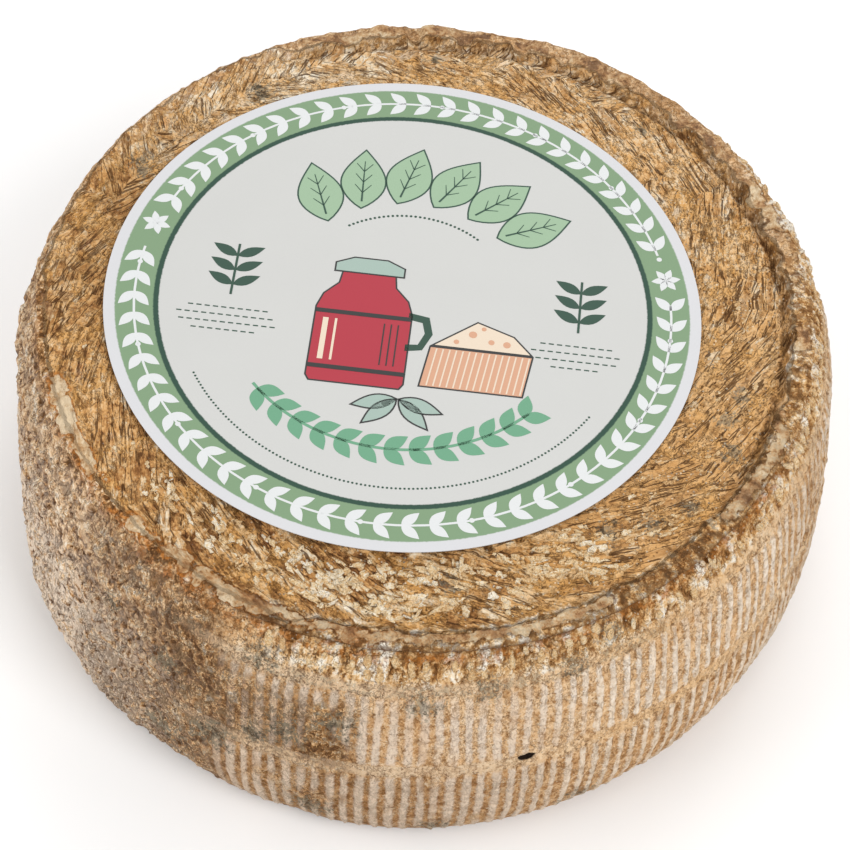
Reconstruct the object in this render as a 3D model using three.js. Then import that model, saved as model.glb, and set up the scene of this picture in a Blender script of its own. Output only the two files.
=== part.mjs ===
import * as THREE from 'three';

// A whole wheel of tomme cheese, pressed by hand in a ribbed mould, with a round paper label on its top.
// Millimetres, +Z up. The origin is the middle of the flat base; the front of the wheel faces -Y.
// Angles round the wheel are in degrees from +X, anticlockwise seen from above.

// Driving dimensions of the wheel
const WIDEST_RADIUS = 125.5;
const WHEEL_HEIGHT = 99.4;
const BASE_FLAT_RADIUS = 113;
const RIM_RADIUS = 108.8;
const RIM_WIDTH = 6.4;
const RIB_COUNT = 184;
const RIB_RELIEF = 0.8;

// A handmade wheel is a little uneven: its top leans to one side and its rim is neither level nor flat
const LEAN_X = 0.032;
const LEAN_Y = -0.006;
const RIM_TILT_X = -0.034;
const RIM_TILT_Y = 0.025;
const RIM_SADDLE = 2.5;
const RIM_SADDLE_TURN = -8;
const WALL_WAVE = 0.5;

// Places where the wheel is worn down, or bulges where the depth is negative: an angle, how far it
// reaches and fades in degrees, and its depth. A worn shoulder also lowers the rim by a part of it.
const SHOULDER_WORN = [
  { at: 140, reach: 18, fade: 22, depth: 1.7 },
  { at: 92, reach: 10, fade: 14, depth: 1.2 },
  { at: 34, reach: 10, fade: 22, depth: 0.8 },
];
const SIDE_WORN = [
  { at: 184, reach: 6, fade: 12, depth: 1.4 },
  { at: -147, reach: 8, fade: 13, depth: -1.2 },
];
const FOOT_WORN = [
  { at: -118, reach: 8, fade: 12, depth: 0.9 },
  { at: -80, reach: 8, fade: 14, depth: -0.6 },
];
const RIM_LOWERED = 0.35;

// The rim is a flat ribbon, with a groove inside it and a crevice under its outer edge
const GROOVE_DEPTH = 0.9;
const GROOVE_BACK_DEPTH = 2.4;
const CREVICE_DEPTH = 0.8;
const CREVICE_FRONT_DEPTH = 1.6;
const NOTCH_ANGLES = [-162, 16, 22, 33, 43, 58, 73.7, 83.3, 91.8, 103, 119, 137, 158];
const NOTCH_WIDTH = 2.6;
const NOTCH_DEPTH = 1.5;
const CRUMB_RELIEF = 1.3;
const CRUMB_SEED = 7;

// The label
const LABEL_RADIUS = 86.5;
const LABEL_THICKNESS = 0.3;
const LABEL_CENTRE_X = -3.4;
const LABEL_CENTRE_Y = -0.1;
const LABEL_TILT_X = -0.05;
const LABEL_TILT_Y = -0.014;
const LABEL_GAP = 0.35;
const LABEL_SEGMENTS = 96;
const LABEL_RINGS = [0.6, 0.88, 1];
const LABEL_CURL = 0.8;

// The top face is flat under the label; at the front it starts to slope down to the rim sooner
const TOP_FLAT_RADIUS = 93.5;
const FRONT_SLOPE_REACH = 12;

// How many corners a ring of the wheel has
const RIB_COLUMNS = 2 * RIB_COUNT;
const RIM_COLUMNS = RIB_COLUMNS / 2;
const FOOT_COLUMNS = RIM_COLUMNS / 2;

const RAD = Math.PI / 180;

function angleBetween(a, b) {
  return Math.abs(((a - b + 540) % 360) - 180);
}

// 1 within the given reach of an angle, fading to 0 over the given distance
function near(angle, middle, reach, fade) {
  const away = Math.max(0, angleBetween(angle, middle) - reach);
  return away >= fade ? 0 : 0.5 + 0.5 * Math.cos((away / fade) * Math.PI);
}

function smooth(from, to, value) {
  return THREE.MathUtils.smoothstep(value, from, to);
}

// The same pseudo-random share from 0 to 1 for the same two whole numbers
function crumb(index, row) {
  const mixed = Math.sin(index * 12.9898 + row * 78.233 + CRUMB_SEED) * 43758.5453;
  return mixed - Math.floor(mixed);
}

// How deep the worn places in a list are at an angle
function worn(places, angle) {
  return places.reduce((sum, place) => sum + place.depth * near(angle, place.at, place.reach, place.fade), 0);
}

// Height of the rim over the base
function rimHeight(angle) {
  const tilt = RIM_TILT_X * Math.cos(angle * RAD) + RIM_TILT_Y * Math.sin(angle * RAD);
  const saddle = RIM_SADDLE * Math.cos(2 * (angle - RIM_SADDLE_TURN) * RAD);
  return WHEEL_HEIGHT + tilt * RIM_RADIUS + saddle - RIM_LOWERED * worn(SHOULDER_WORN, angle);
}

// How far the wall stands out of its round at an angle
function wallWave(angle) {
  return WALL_WAVE * (Math.sin((3 * angle + 40) * RAD) + 0.6 * Math.sin((5 * angle - 70) * RAD));
}

// How much of the wall is worn away at a share of its height and an angle
function wallWorn(share, angle) {
  const clamp = THREE.MathUtils.clamp;
  const shoulder = clamp((share - 0.5) / 0.34, 0, 1) * worn(SHOULDER_WORN, angle);
  const side = clamp((0.8 - share) / 0.2, 0, 1) * worn(SIDE_WORN, angle);
  const foot = clamp((0.3 - share) / 0.2, 0, 1) * worn(FOOT_WORN, angle);
  return shoulder + side + foot;
}

// The ribs are sharp at the front and right, and worn smooth at the left where the cloth was folded
function ribStrength(angle) {
  const front = near(angle, -36, 62, 26);
  const back = 0.6 * near(angle, 80, 70, 30);
  return 0.15 + 0.85 * Math.max(front, back);
}

function ribOffset(column, angle) {
  const crest = column % 2 === 0 ? 0.5 : -0.5;
  return crest * RIB_RELIEF * ribStrength(angle);
}

function grooveDepth(angle) {
  return GROOVE_DEPTH + (GROOVE_BACK_DEPTH - GROOVE_DEPTH) * near(angle, 40, 58, 30);
}

function creviceDepth(angle) {
  return CREVICE_DEPTH + (CREVICE_FRONT_DEPTH - CREVICE_DEPTH) * near(angle, -75, 40, 25);
}

// The broken edge of the rim at the back: one where a notch is open, nought between notches
function notch(angle) {
  return Math.max(...NOTCH_ANGLES.map((at) => near(angle, at, NOTCH_WIDTH / 4, NOTCH_WIDTH / 2)));
}

// Height of the plane that the label's upper side lies in
function labelPlane(x, y) {
  return WHEEL_HEIGHT + LABEL_TILT_X * x + LABEL_TILT_Y * y;
}

// Height of the top face inside the rim: flat under the label, then up or down to the rim
function topHeight(radius, angle) {
  const x = radius * Math.cos(angle * RAD) + LEAN_X * WHEEL_HEIGHT;
  const y = radius * Math.sin(angle * RAD) + LEAN_Y * WHEEL_HEIGHT;
  const flat = labelPlane(x, y) - LABEL_THICKNESS - LABEL_GAP;
  const edge = TOP_FLAT_RADIUS - FRONT_SLOPE_REACH * near(angle, -90, 30, 50);
  const rise = smooth(edge, RIM_RADIUS - RIM_WIDTH / 2, radius);
  return THREE.MathUtils.lerp(flat, rimHeight(angle) - grooveDepth(angle), rise);
}

// The wall's outline, from the foot up to the rim: heights are shares of the rim's height
const WALL = [
  { share: 0.02, radius: 118.2, ribs: 0, crumbs: 0, columns: RIM_COLUMNS },
  { share: 0.085, radius: 122.4, ribs: 0.8, crumbs: 0.2, columns: RIB_COLUMNS },
  { share: 0.27, radius: WIDEST_RADIUS, ribs: 1, crumbs: 0, columns: RIB_COLUMNS },
  { share: 0.46, radius: 124.8, ribs: 1, crumbs: 0, columns: RIB_COLUMNS },
  { share: 0.482, radius: 124.1, ribs: 0.1, crumbs: 0.2, columns: RIB_COLUMNS },
  { share: 0.52, radius: 123.3, ribs: 0.1, crumbs: 0.2, columns: RIB_COLUMNS },
  { share: 0.545, radius: 123.9, ribs: 1, crumbs: 0, columns: RIB_COLUMNS },
  { share: 0.84, radius: 119.2, ribs: 1, crumbs: 0.2, columns: RIB_COLUMNS },
  { share: 0.868, radius: 117.6, ribs: 0.1, crumbs: 0.3, columns: RIB_COLUMNS },
  { share: 0.9, radius: 117, ribs: 0.7, crumbs: 0.7, columns: RIB_COLUMNS },
  { share: 0.952, radius: 114.6, ribs: 0.6, crumbs: 1, columns: RIB_COLUMNS },
];

// A ring of points round the wheel, its height and radius given by functions of the angle
function ring(columns, heightAt, radiusAt) {
  const points = [];
  for (let column = 0; column < columns; column += 1) {
    const angle = (column * 360) / columns;
    const height = heightAt(angle, column);
    const radius = radiusAt(angle, column);
    const x = radius * Math.cos(angle * RAD) + LEAN_X * height;
    const y = radius * Math.sin(angle * RAD) + LEAN_Y * height;
    points.push(new THREE.Vector3(x, y, height));
  }
  return points;
}

function wallRing(row, rowIndex) {
  const crumbs = (column) => (crumb(column, rowIndex) - 0.5) * CRUMB_RELIEF * row.crumbs;
  const ribs = (angle, column) => (row.columns === RIB_COLUMNS ? row.ribs * ribOffset(column, angle) : 0);
  const wall = (angle) => row.radius + wallWave(angle) - wallWorn(row.share, angle);
  return ring(
    row.columns,
    (angle) => row.share * rimHeight(angle),
    (angle, column) => wall(angle) + ribs(angle, column) + crumbs(column),
  );
}

// The rim from its crevice outside to its groove inside
function rimRings() {
  const outer = (angle) => RIM_RADIUS + RIM_WIDTH / 2 - worn(SHOULDER_WORN, angle);
  const inner = RIM_RADIUS - RIM_WIDTH / 2;
  const raised = (angle) => rimHeight(angle) - NOTCH_DEPTH * notch(angle);
  return [
    ring(
      RIM_COLUMNS,
      (angle) => rimHeight(angle) - 1.2 - creviceDepth(angle),
      (angle, column) => outer(angle) + 0.4 - 0.4 * creviceDepth(angle) + 0.6 * crumb(column, 20),
    ),
    ring(
      RIM_COLUMNS,
      (angle) => raised(angle) - 0.7,
      (angle, column) => outer(angle) + 0.8 * crumb(column, 21),
    ),
    ring(RIM_COLUMNS, raised, (angle) => RIM_RADIUS - 0.4 * worn(SHOULDER_WORN, angle)),
    ring(
      RIM_COLUMNS,
      (angle) => raised(angle) - 0.4,
      (angle, column) => inner - 0.8 * crumb(column, 22) + 2.4 * notch(angle),
    ),
  ];
}

// The top face, from the groove inside the rim to the middle
function topRings() {
  const rows = [
    { radius: RIM_RADIUS - RIM_WIDTH / 2 - 1.8, columns: RIM_COLUMNS, sunk: 0.6 },
    { radius: 99, columns: RIM_COLUMNS, sunk: 0 },
    { radius: TOP_FLAT_RADIUS, columns: RIM_COLUMNS / 2, sunk: 0 },
    { radius: LABEL_RADIUS - 1, columns: RIM_COLUMNS / 2, sunk: 0 },
    { radius: 54, columns: RIM_COLUMNS / 4, sunk: 0 },
    { radius: 24, columns: RIM_COLUMNS / 8, sunk: 0 },
  ];
  return rows.map((row) =>
    ring(
      row.columns,
      (angle) => topHeight(row.radius, angle) - row.sunk * grooveDepth(angle),
      () => row.radius,
    ),
  );
}

// Joins rings from the lowest to the highest, and closes them with a point at each end
function closedSkin(rings, first, last) {
  const positions = [first, ...rings.flat(), last].flatMap((point) => [point.x, point.y, point.z]);
  const indices = [];
  const starts = [];
  let next = 1;
  rings.forEach((points) => {
    starts.push(next);
    next += points.length;
  });
  const corner = (row, column) => starts[row] + (column % rings[row].length);

  for (let column = 0; column < rings[0].length; column += 1) {
    indices.push(0, corner(0, column + 1), corner(0, column));
  }
  for (let row = 0; row + 1 < rings.length; row += 1) {
    const low = rings[row].length;
    const high = rings[row + 1].length;
    const fewer = Math.min(low, high);
    const lowStep = low / fewer;
    const highStep = high / fewer;
    for (let column = 0; column < fewer; column += 1) {
      const a = column * lowStep;
      const b = column * highStep;
      if (lowStep === 2) {
        indices.push(corner(row, a), corner(row, a + 1), corner(row + 1, b));
        indices.push(corner(row, a + 1), corner(row, a + 2), corner(row + 1, b + 1));
        indices.push(corner(row, a + 1), corner(row + 1, b + 1), corner(row + 1, b));
      } else if (highStep === 2) {
        indices.push(corner(row, a), corner(row + 1, b + 1), corner(row + 1, b));
        indices.push(corner(row, a), corner(row, a + 1), corner(row + 1, b + 1));
        indices.push(corner(row, a + 1), corner(row + 1, b + 2), corner(row + 1, b + 1));
      } else {
        indices.push(corner(row, a), corner(row, a + 1), corner(row + 1, b));
        indices.push(corner(row, a + 1), corner(row + 1, b + 1), corner(row + 1, b));
      }
    }
  }
  const top = rings.length - 1;
  for (let column = 0; column < rings[top].length; column += 1) {
    indices.push(next, corner(top, column), corner(top, column + 1));
  }

  const geometry = new THREE.BufferGeometry();
  geometry.setAttribute('position', new THREE.Float32BufferAttribute(positions, 3));
  geometry.setIndex(indices);
  geometry.computeVertexNormals();
  return geometry;
}

function makeWheel() {
  const foot = ring(FOOT_COLUMNS, () => 0, () => BASE_FLAT_RADIUS);
  const rings = [foot, ...WALL.map(wallRing), ...rimRings(), ...topRings()];
  const base = new THREE.Vector3(0, 0, 0);
  const middleHeight = topHeight(0, 0);
  const middle = new THREE.Vector3(LEAN_X * middleHeight, LEAN_Y * middleHeight, middleHeight);
  const rind = new THREE.MeshStandardMaterial({ color: 0xc79c63, roughness: 0.85, metalness: 0 });
  const mesh = new THREE.Mesh(closedSkin(rings, base, middle), rind);
  mesh.name = 'wheel';
  return mesh;
}

// Height of the label's underside: its plane, with the edge lifted a little where it isn't stuck down
function labelHeight(x, y) {
  const edge = smooth(0.8, 1, Math.hypot(x, y) / LABEL_RADIUS);
  const lift = LABEL_CURL * edge * near(Math.atan2(y, x) / RAD, -150, 60, 50);
  return labelPlane(x + LABEL_CENTRE_X, y + LABEL_CENTRE_Y) - LABEL_THICKNESS + lift;
}

function labelRing(share, columns, raise) {
  const points = [];
  for (let column = 0; column < columns; column += 1) {
    const angle = (column * 2 * Math.PI) / columns;
    const x = share * LABEL_RADIUS * Math.cos(angle);
    const y = share * LABEL_RADIUS * Math.sin(angle);
    points.push(new THREE.Vector3(x, y, labelHeight(x, y) + raise));
  }
  return points;
}

function makeLabel() {
  const under = LABEL_RINGS.map((share) => labelRing(share, LABEL_SEGMENTS, 0));
  const over = LABEL_RINGS.map((share) => labelRing(share, LABEL_SEGMENTS, LABEL_THICKNESS)).reverse();
  const lowest = new THREE.Vector3(0, 0, labelHeight(0, 0));
  const highest = new THREE.Vector3(0, 0, labelHeight(0, 0) + LABEL_THICKNESS);
  const paper = new THREE.MeshStandardMaterial({ color: 0xdfe0dc, roughness: 0.7, metalness: 0 });
  const mesh = new THREE.Mesh(closedSkin([...under, ...over], lowest, highest), paper);
  mesh.name = 'label';
  mesh.position.set(LABEL_CENTRE_X, LABEL_CENTRE_Y, 0);
  return mesh;
}

const tomme = new THREE.Group();
tomme.add(makeWheel(), makeLabel());

export default tomme;
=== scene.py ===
"""Tomme cheese: the finished looks of a whole wheel with its round paper label.

The wheel is one closed mesh. Its outline is spun round the upright axis and then settled into the
uneven form of a handmade cheese, with the mould's ribs, two seams, a crumbly shoulder and a waxy rim.
Flakes of rind and crumbs lie on it as small joined meshes. The label is thin paper with printed fields
and plain ornaments. All sizes in the classes are millimetres and turn into metres where meshes are made.
"""

from __future__ import annotations

import logging
import math
import random
from dataclasses import dataclass
from enum import Enum
from typing import Any, ClassVar, Iterable

import bmesh
import bpy
import numpy as np
from mathutils import Matrix, Vector, noise
from mathutils.bvhtree import BVHTree

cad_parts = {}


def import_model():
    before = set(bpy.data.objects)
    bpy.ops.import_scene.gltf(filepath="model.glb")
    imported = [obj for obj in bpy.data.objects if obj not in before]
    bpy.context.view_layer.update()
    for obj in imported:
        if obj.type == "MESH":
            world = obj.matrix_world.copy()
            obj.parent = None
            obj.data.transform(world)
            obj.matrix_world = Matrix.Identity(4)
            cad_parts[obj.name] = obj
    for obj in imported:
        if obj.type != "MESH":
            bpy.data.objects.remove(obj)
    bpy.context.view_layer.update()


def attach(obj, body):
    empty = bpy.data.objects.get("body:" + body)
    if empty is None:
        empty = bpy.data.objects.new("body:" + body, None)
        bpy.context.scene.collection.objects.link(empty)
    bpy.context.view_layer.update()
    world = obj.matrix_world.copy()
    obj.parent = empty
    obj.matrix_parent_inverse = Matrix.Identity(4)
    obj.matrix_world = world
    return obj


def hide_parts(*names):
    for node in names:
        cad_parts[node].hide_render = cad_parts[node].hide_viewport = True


LOG = logging.getLogger("tomme")
MM = 0.001

Points = np.ndarray
Fields = dict[str, np.ndarray]
Pair = tuple[float, float]
Triple = tuple[float, float, float]
Ramp = tuple[tuple[float, str], ...]
Bit = tuple[float, float, float, Triple, float]


def linear(colour: str) -> tuple[float, float, float, float]:
    """Turns an sRGB hex value into the linear colour that a shader socket holds.

    Args:
        colour: the value, such as "#C79C63".

    Returns:
        Linear red, green, blue and an alpha of one.
    """
    parts = [int(colour[i : i + 2], 16) / 255 for i in (1, 3, 5)]
    tones = [c / 12.92 if c <= 0.04045 else ((c + 0.055) / 1.055) ** 2.4 for c in parts]
    return (*tones, 1.0)


def smooth(low: float, high: float, value: Points) -> Points:
    """Rises from nought at low to one at high, level at both ends."""
    share = np.clip((value - low) / (high - low), 0.0, 1.0)
    return share * share * (3 - 2 * share)


def band(value: Points, low: float, high: float, soft: float) -> Points:
    """One between low and high, fading to nought over soft at each side."""
    return smooth(low - soft, low + soft, value) * smooth(high + soft, high - soft, value)


def peak(value: Points, middle: float, reach: float) -> Points:
    """One at the middle, falling in a straight line to nought at reach on each side."""
    return np.clip(1 - np.abs(value - middle) / reach, 0, 1)


def apart(angle: Points, middle: float) -> Points:
    """How many degrees lie between an angle and a middle, the short way round."""
    return np.abs((angle - middle + 540) % 360 - 180)


@dataclass(frozen=True)
class Zone:
    """A stretch round the wheel, in degrees from +X: it fades out beyond its reach on each side."""

    middle: float
    reach: float
    fade: float

    def at(self, angle: Points) -> Points:
        """One inside the stretch, fading to nought outside it."""
        beyond = np.clip((apart(angle, self.middle) - self.reach) / self.fade, 0.0, 1.0)
        return 0.5 + 0.5 * np.cos(beyond * math.pi)


def flow(value: Points, stops: Iterable[float], levels: Iterable[float]) -> Points:
    """A smooth curve through levels at rising stops.

    Args:
        value: where the curve is read.
        stops: rising places along it.
        levels: its level at each stop.

    Returns:
        The curve's level at each value.
    """
    at, level = np.asarray(stops, float), np.asarray(levels, float)
    slope = np.gradient(level, at)
    first = np.clip(np.searchsorted(at, value, side="right") - 1, 0, len(at) - 2)
    gap = at[first + 1] - at[first]
    share = np.clip((value - at[first]) / gap, 0, 1)
    rise = level[first + 1] - level[first]
    start, end = slope[first] * gap, slope[first + 1] * gap
    bend = (3 * rise - 2 * start - end) * share**2 + (start + end - 2 * rise) * share**3
    return level[first] + start * share + bend


def grain(points: Points, size: float | Triple, octaves: int, seed: float) -> Points:
    """Seeded fractal noise at many points.

    Args:
        points: places in millimetres, one row each.
        size: the size of the coarsest grain in millimetres, or one for each axis.
        octaves: how many finer grains are added.
        seed: moves the pattern, so that two uses differ.

    Returns:
        One value for each point, roughly from minus one to one.
    """
    scaled = points / np.asarray(size) + seed
    return np.array([noise.fractal(Vector(p), 1.0, 2.0, octaves) for p in scaled])


def plates(points: Points, size: Triple, seed: float) -> tuple[Points, Points]:
    """Breaks a surface into uneven plates, as a dried crust breaks.

    Args:
        points: places in millimetres, one row each.
        size: a plate's usual size along each axis in millimetres.
        seed: moves the pattern, so that two uses differ.

    Returns:
        For each point, its plate's own chance value, and how far it is from the plate's edge, where
        the edge is nought and a third or so is well inside.
    """
    own, away = np.empty(len(points)), np.empty(len(points))
    for index, point in enumerate(points / np.asarray(size) + seed):
        distances, sites = noise.voronoi(Vector(point))
        own[index] = noise.cell(sites[0] * 37.7)
        away[index] = distances[1] - distances[0]
    return own, away


WALL_END = 95.2
CREVICE_AT = 98.3
RIM_END = 106.2
TOP_START = 106.3
GROOVE_AT = 107.6


class Stretch(Enum):
    """Where each part of the wheel's outline lies, as stations from the base to the label.

    Up to WALL_END a station is the share of the rim's height in percent. From about 100 on it counts
    the millimetres inwards from the rim's outer edge, and the crevice lies between.
    """

    LOWER_RIBS = (6.0, 46.5)
    LOWER_SEAM = (46.8, 52.4)
    UPPER_RIBS = (53.0, 84.6)
    UPPER_SEAM = (85.2, 89.3)
    SHOULDER = (89.6, 100.8)
    RIM = (99.9, 106.3)
    TOP = (105.4, 200.0)

    def cover(self, station: Points, soft: float) -> Points:
        """One on this part, fading to nought over soft at each side."""
        return band(station, *self.value, soft)


@dataclass(frozen=True)
class Worn(Zone):
    """A stretch round the wheel that is worn down, or bulges where the depth is negative."""

    depth: float

    def at(self, angle: Points) -> Points:
        """The depth in millimetres at an angle in degrees."""
        return self.depth * super().at(angle)


@dataclass(frozen=True)
class Form:
    """The wheel's uneven form, as named sizes that the solid is made from too."""

    height: float = 99.4
    rim_radius: float = 108.8
    rim_width: float = 6.4
    rib_count: int = 184
    rib_relief: float = 0.8
    lean: Pair = (0.032, -0.006)
    rim_tilt: Pair = (-0.034, 0.025)
    rim_saddle: float = 2.5
    rim_saddle_turn: float = -8.0
    rim_lowered: float = 0.35
    wall_wave: float = 0.5
    wall_turns: tuple[Triple, Triple] = ((3, 40, 1.0), (5, -70, 0.6))
    wall_shares: tuple[float, ...] = (0, 2, 4.5, 8.5, 27, 46, 54.5, 70, 84, 90, WALL_END)
    wall_radii: tuple[float, ...] = (113, 118.2, 120.6, 122.4, 125.5, 124.8, 123.9, 121.9, 119.2, 117, 114.6)
    edge_stops: tuple[float, ...] = (WALL_END, 96.4, 97.4, CREVICE_AT, 99.1, 99.8, 100.6, 103, 105.2, RIM_END)
    edge_radii: tuple[float, ...] = (114.6, 113.9, 112.9, 112.3, 112.5, 112, 111.2, 108.8, 106.6, 105.6)
    edge_drops: tuple[float, ...] = (-4.77, -3.7, -2.8, -1.9, -1.1, -0.6, -0.1, 0, -0.1, -0.4)
    shoulder_worn: tuple[Worn, ...] = (Worn(140, 18, 22, 1.7), Worn(92, 10, 14, 1.2), Worn(34, 10, 22, 0.8))
    side_worn: tuple[Worn, ...] = (Worn(184, 6, 12, 1.4), Worn(-147, 8, 13, -1.2))
    foot_worn: tuple[Worn, ...] = (Worn(-118, 8, 12, 0.9), Worn(-80, 8, 14, -0.6))
    ribbon_clear: Zone = Zone(3, 103, 16)
    ribbon_beaded: Zone = Zone(-147, 32, 12)
    groove_depth: Pair = (0.9, 2.4)
    groove_deep: Zone = Zone(40, 58, 30)
    groove_filled: Zone = Zone(-115, 50, 30)
    crevice_depth: Pair = (0.8, 1.6)
    crevice_deep: Zone = Zone(-75, 40, 25)
    crevice_open: Zone = Zone(-72, 38, 16)
    ribs_front: Zone = Zone(-40, 70, 22)
    ribs_back: Zone = Zone(80, 70, 30)
    notch_angles: tuple[float, ...] = (-162, 16, 22, 33, 43, 58, 73.7, 83.3, 91.8, 103, 119, 137, 158)
    notch_width: float = 2.6
    notch_depth: float = 1.5
    top_flat_radius: float = 93.5
    front_slope: Zone = Zone(-90, 30, 50)
    front_slope_reach: float = 12.0
    label_tilt: Pair = (-0.05, -0.014)
    label_sunk: float = 0.65
    pinhole: Pair = (50.2, -76.2)

    @property
    def inner_edge(self) -> float:
        """Radius of the rim's inner edge."""
        return self.rim_radius - self.rim_width / 2

    def shoulder_wear(self, angle: Points) -> Points:
        """How far the shoulder is worn in at an angle."""
        return sum(place.at(angle) for place in self.shoulder_worn)

    def wall_wear(self, station: Points, angle: Points) -> Points:
        """How far the wall is worn in at stations and angles."""
        share = station / 100
        shoulder = np.clip((share - 0.5) / 0.34, 0, 1) * self.shoulder_wear(angle)
        side = np.clip((0.8 - share) / 0.2, 0, 1) * sum(place.at(angle) for place in self.side_worn)
        foot = np.clip((0.3 - share) / 0.2, 0, 1) * sum(place.at(angle) for place in self.foot_worn)
        return shoulder + side + foot

    def rim_height(self, angle: Points) -> Points:
        """Height of the rim over the base at an angle in degrees."""
        turn = np.radians(angle)
        tilt = self.rim_tilt[0] * np.cos(turn) + self.rim_tilt[1] * np.sin(turn)
        saddle = self.rim_saddle * np.cos(2 * (turn - math.radians(self.rim_saddle_turn)))
        lowered = self.rim_lowered * self.shoulder_wear(angle)
        return self.height + tilt * self.rim_radius + saddle - lowered

    def notch(self, angle: Points) -> Points:
        """One where the rim's edge is broken open, nought elsewhere."""
        width = self.notch_width
        return np.max([Zone(at, width / 4, width / 2).at(angle) for at in self.notch_angles], axis=0)

    def ribbon(self, angle: Points) -> Points:
        """How clear the rim's ribbon is: broken at the left, and lost in the crust at the back left."""
        clear = 0.1 + 0.9 * self.ribbon_clear.at(angle)
        return np.maximum(clear, 0.1 + 0.5 * self.ribbon_beaded.at(angle))

    def groove(self, angle: Points) -> Points:
        """Depth of the groove inside the rim."""
        low, high = self.groove_depth
        depth = low + (high - low) * self.groove_deep.at(angle)
        return depth * (0.1 + 0.9 * self.ribbon(angle)) * (1 - 0.85 * self.groove_filled.at(angle))

    def crevice(self, angle: Points) -> Points:
        """Depth of the crevice under the rim's outer edge."""
        low, high = self.crevice_depth
        return (low + (high - low) * self.crevice_deep.at(angle)) * self.open_crevice(angle)

    def open_crevice(self, angle: Points) -> Points:
        """One where the crevice is open, at the front; it is closed with crust elsewhere."""
        return 0.1 + 0.9 * self.crevice_open.at(angle)

    def rib_strength(self, angle: Points) -> Points:
        """How sharp the ribs are: worn smooth at the left, where the cloth was folded."""
        return 0.15 + 0.85 * np.maximum(self.ribs_front.at(angle), 0.6 * self.ribs_back.at(angle))

    def leaned(self, radius: Points, angle: Points, height: Points | float) -> tuple[Points, Points]:
        """X and y of points in the frame, once the wheel leans."""
        turn = np.radians(angle)
        return radius * np.cos(turn) + self.lean[0] * height, radius * np.sin(turn) + self.lean[1] * height

    def top_height(self, radius: Points, angle: Points) -> Points:
        """Height of the top face inside the rim: flat under the label, then up or down to the rim."""
        x, y = self.leaned(radius, angle, self.height)
        flat = self.height - self.label_sunk + self.label_tilt[0] * x + self.label_tilt[1] * y
        edge = self.top_flat_radius - self.front_slope_reach * self.front_slope.at(angle)
        rise = smooth(edge, self.inner_edge, radius)
        return flat + (self.rim_height(angle) - self.groove(angle) - flat) * rise

    def settle(self, station: Points, angle: Points) -> tuple[Points, Points]:
        """Radius and height of the smooth form at stations and angles.

        Args:
            station: places along the outline, as Stretch says.
            angle: degrees round the wheel.

        Returns:
            The radius and the height over the base, before the wheel leans.
        """
        rim = self.rim_height(angle)
        wave = self.wall_wave * sum(
            share * np.sin(np.radians(times * angle + start)) for times, start, share in self.wall_turns
        )
        wall_radius = flow(station, self.wall_shares, self.wall_radii) + wave - self.wall_wear(station, angle)
        opened = peak(station, CREVICE_AT, 1.2) * self.crevice(angle)
        wear = self.shoulder_wear(angle) * np.interp(station, (99.8, 103.0, RIM_END), (1.0, 0.4, 0.0))
        edge_radius = np.interp(station, self.edge_stops, self.edge_radii) - 0.7 * opened - wear
        edge_radius = edge_radius + wave * smooth(99, WALL_END, station)
        edge_height = rim + np.interp(station, self.edge_stops, self.edge_drops) - 0.5 * opened
        top_radius = self.inner_edge + RIM_END - station
        ditch = 0.6 * peak(station, GROOVE_AT, 1.6) * self.groove(angle)
        top_height = self.top_height(top_radius, angle) - ditch
        on_wall = station < WALL_END
        on_top = station > TOP_START
        radius = np.where(on_wall, wall_radius, np.where(on_top, top_radius, edge_radius))
        height = np.where(on_wall, station / 100 * rim, np.where(on_top, top_height, edge_height))
        return radius, height

    def place(self, radius: Points, height: Points, angle: Points) -> Points:
        """Points in the frame, in millimetres, once the wheel leans."""
        return np.stack([*self.leaned(radius, angle, height), height], axis=-1)

    def spot(self, station: float, angle: float) -> Vector:
        """The point of the smooth form at one station and angle, in millimetres."""
        stations, angles = np.array([station]), np.array([angle])
        radius, height = self.settle(stations, angles)
        return Vector(self.place(radius, height, angles)[0])


@dataclass(frozen=True)
class Strokes:
    """The slanting marks that the pressing cloth left on the top face.

    The cloth was turned round the wheel in folds. Inside one fold the marks are straight and run
    across the radius at one slant, and they break at the next fold. At the back an outer zone of
    folds slants the other way.
    """

    fold: float = 13.0
    fold_play: float = 0.9
    slant: float = 68.0
    slant_play: float = 9.0
    play_turn: float = 2.4
    outer_slant: float = -52.0
    outer_station: float = 113.0
    outer_play: float = 5.0
    outer_angle: float = 105.0
    outer_reach: float = 54.0

    def direction(self, station: float, angle: float, drift: float) -> float:
        """The marks' direction in degrees from +X.

        Args:
            station: the place along the outline.
            angle: the place round the wheel in degrees.
            drift: slow noise about nought that makes the folds' edges uneven.

        Returns:
            The direction in the fold that holds the place.
        """
        index = round(angle / self.fold + self.fold_play * drift)
        slant = self.slant + self.slant_play * math.sin(index * self.play_turn)
        outside = station < self.outer_station + self.outer_play * drift
        if outside and apart(angle, self.outer_angle) < self.outer_reach:
            slant += self.outer_slant - self.slant
        return index * self.fold + slant


@dataclass(frozen=True)
class MouldSpot:
    """A patch of mould on the rind, by its place on the wheel."""

    station: float
    angle: float
    reach: float


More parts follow.
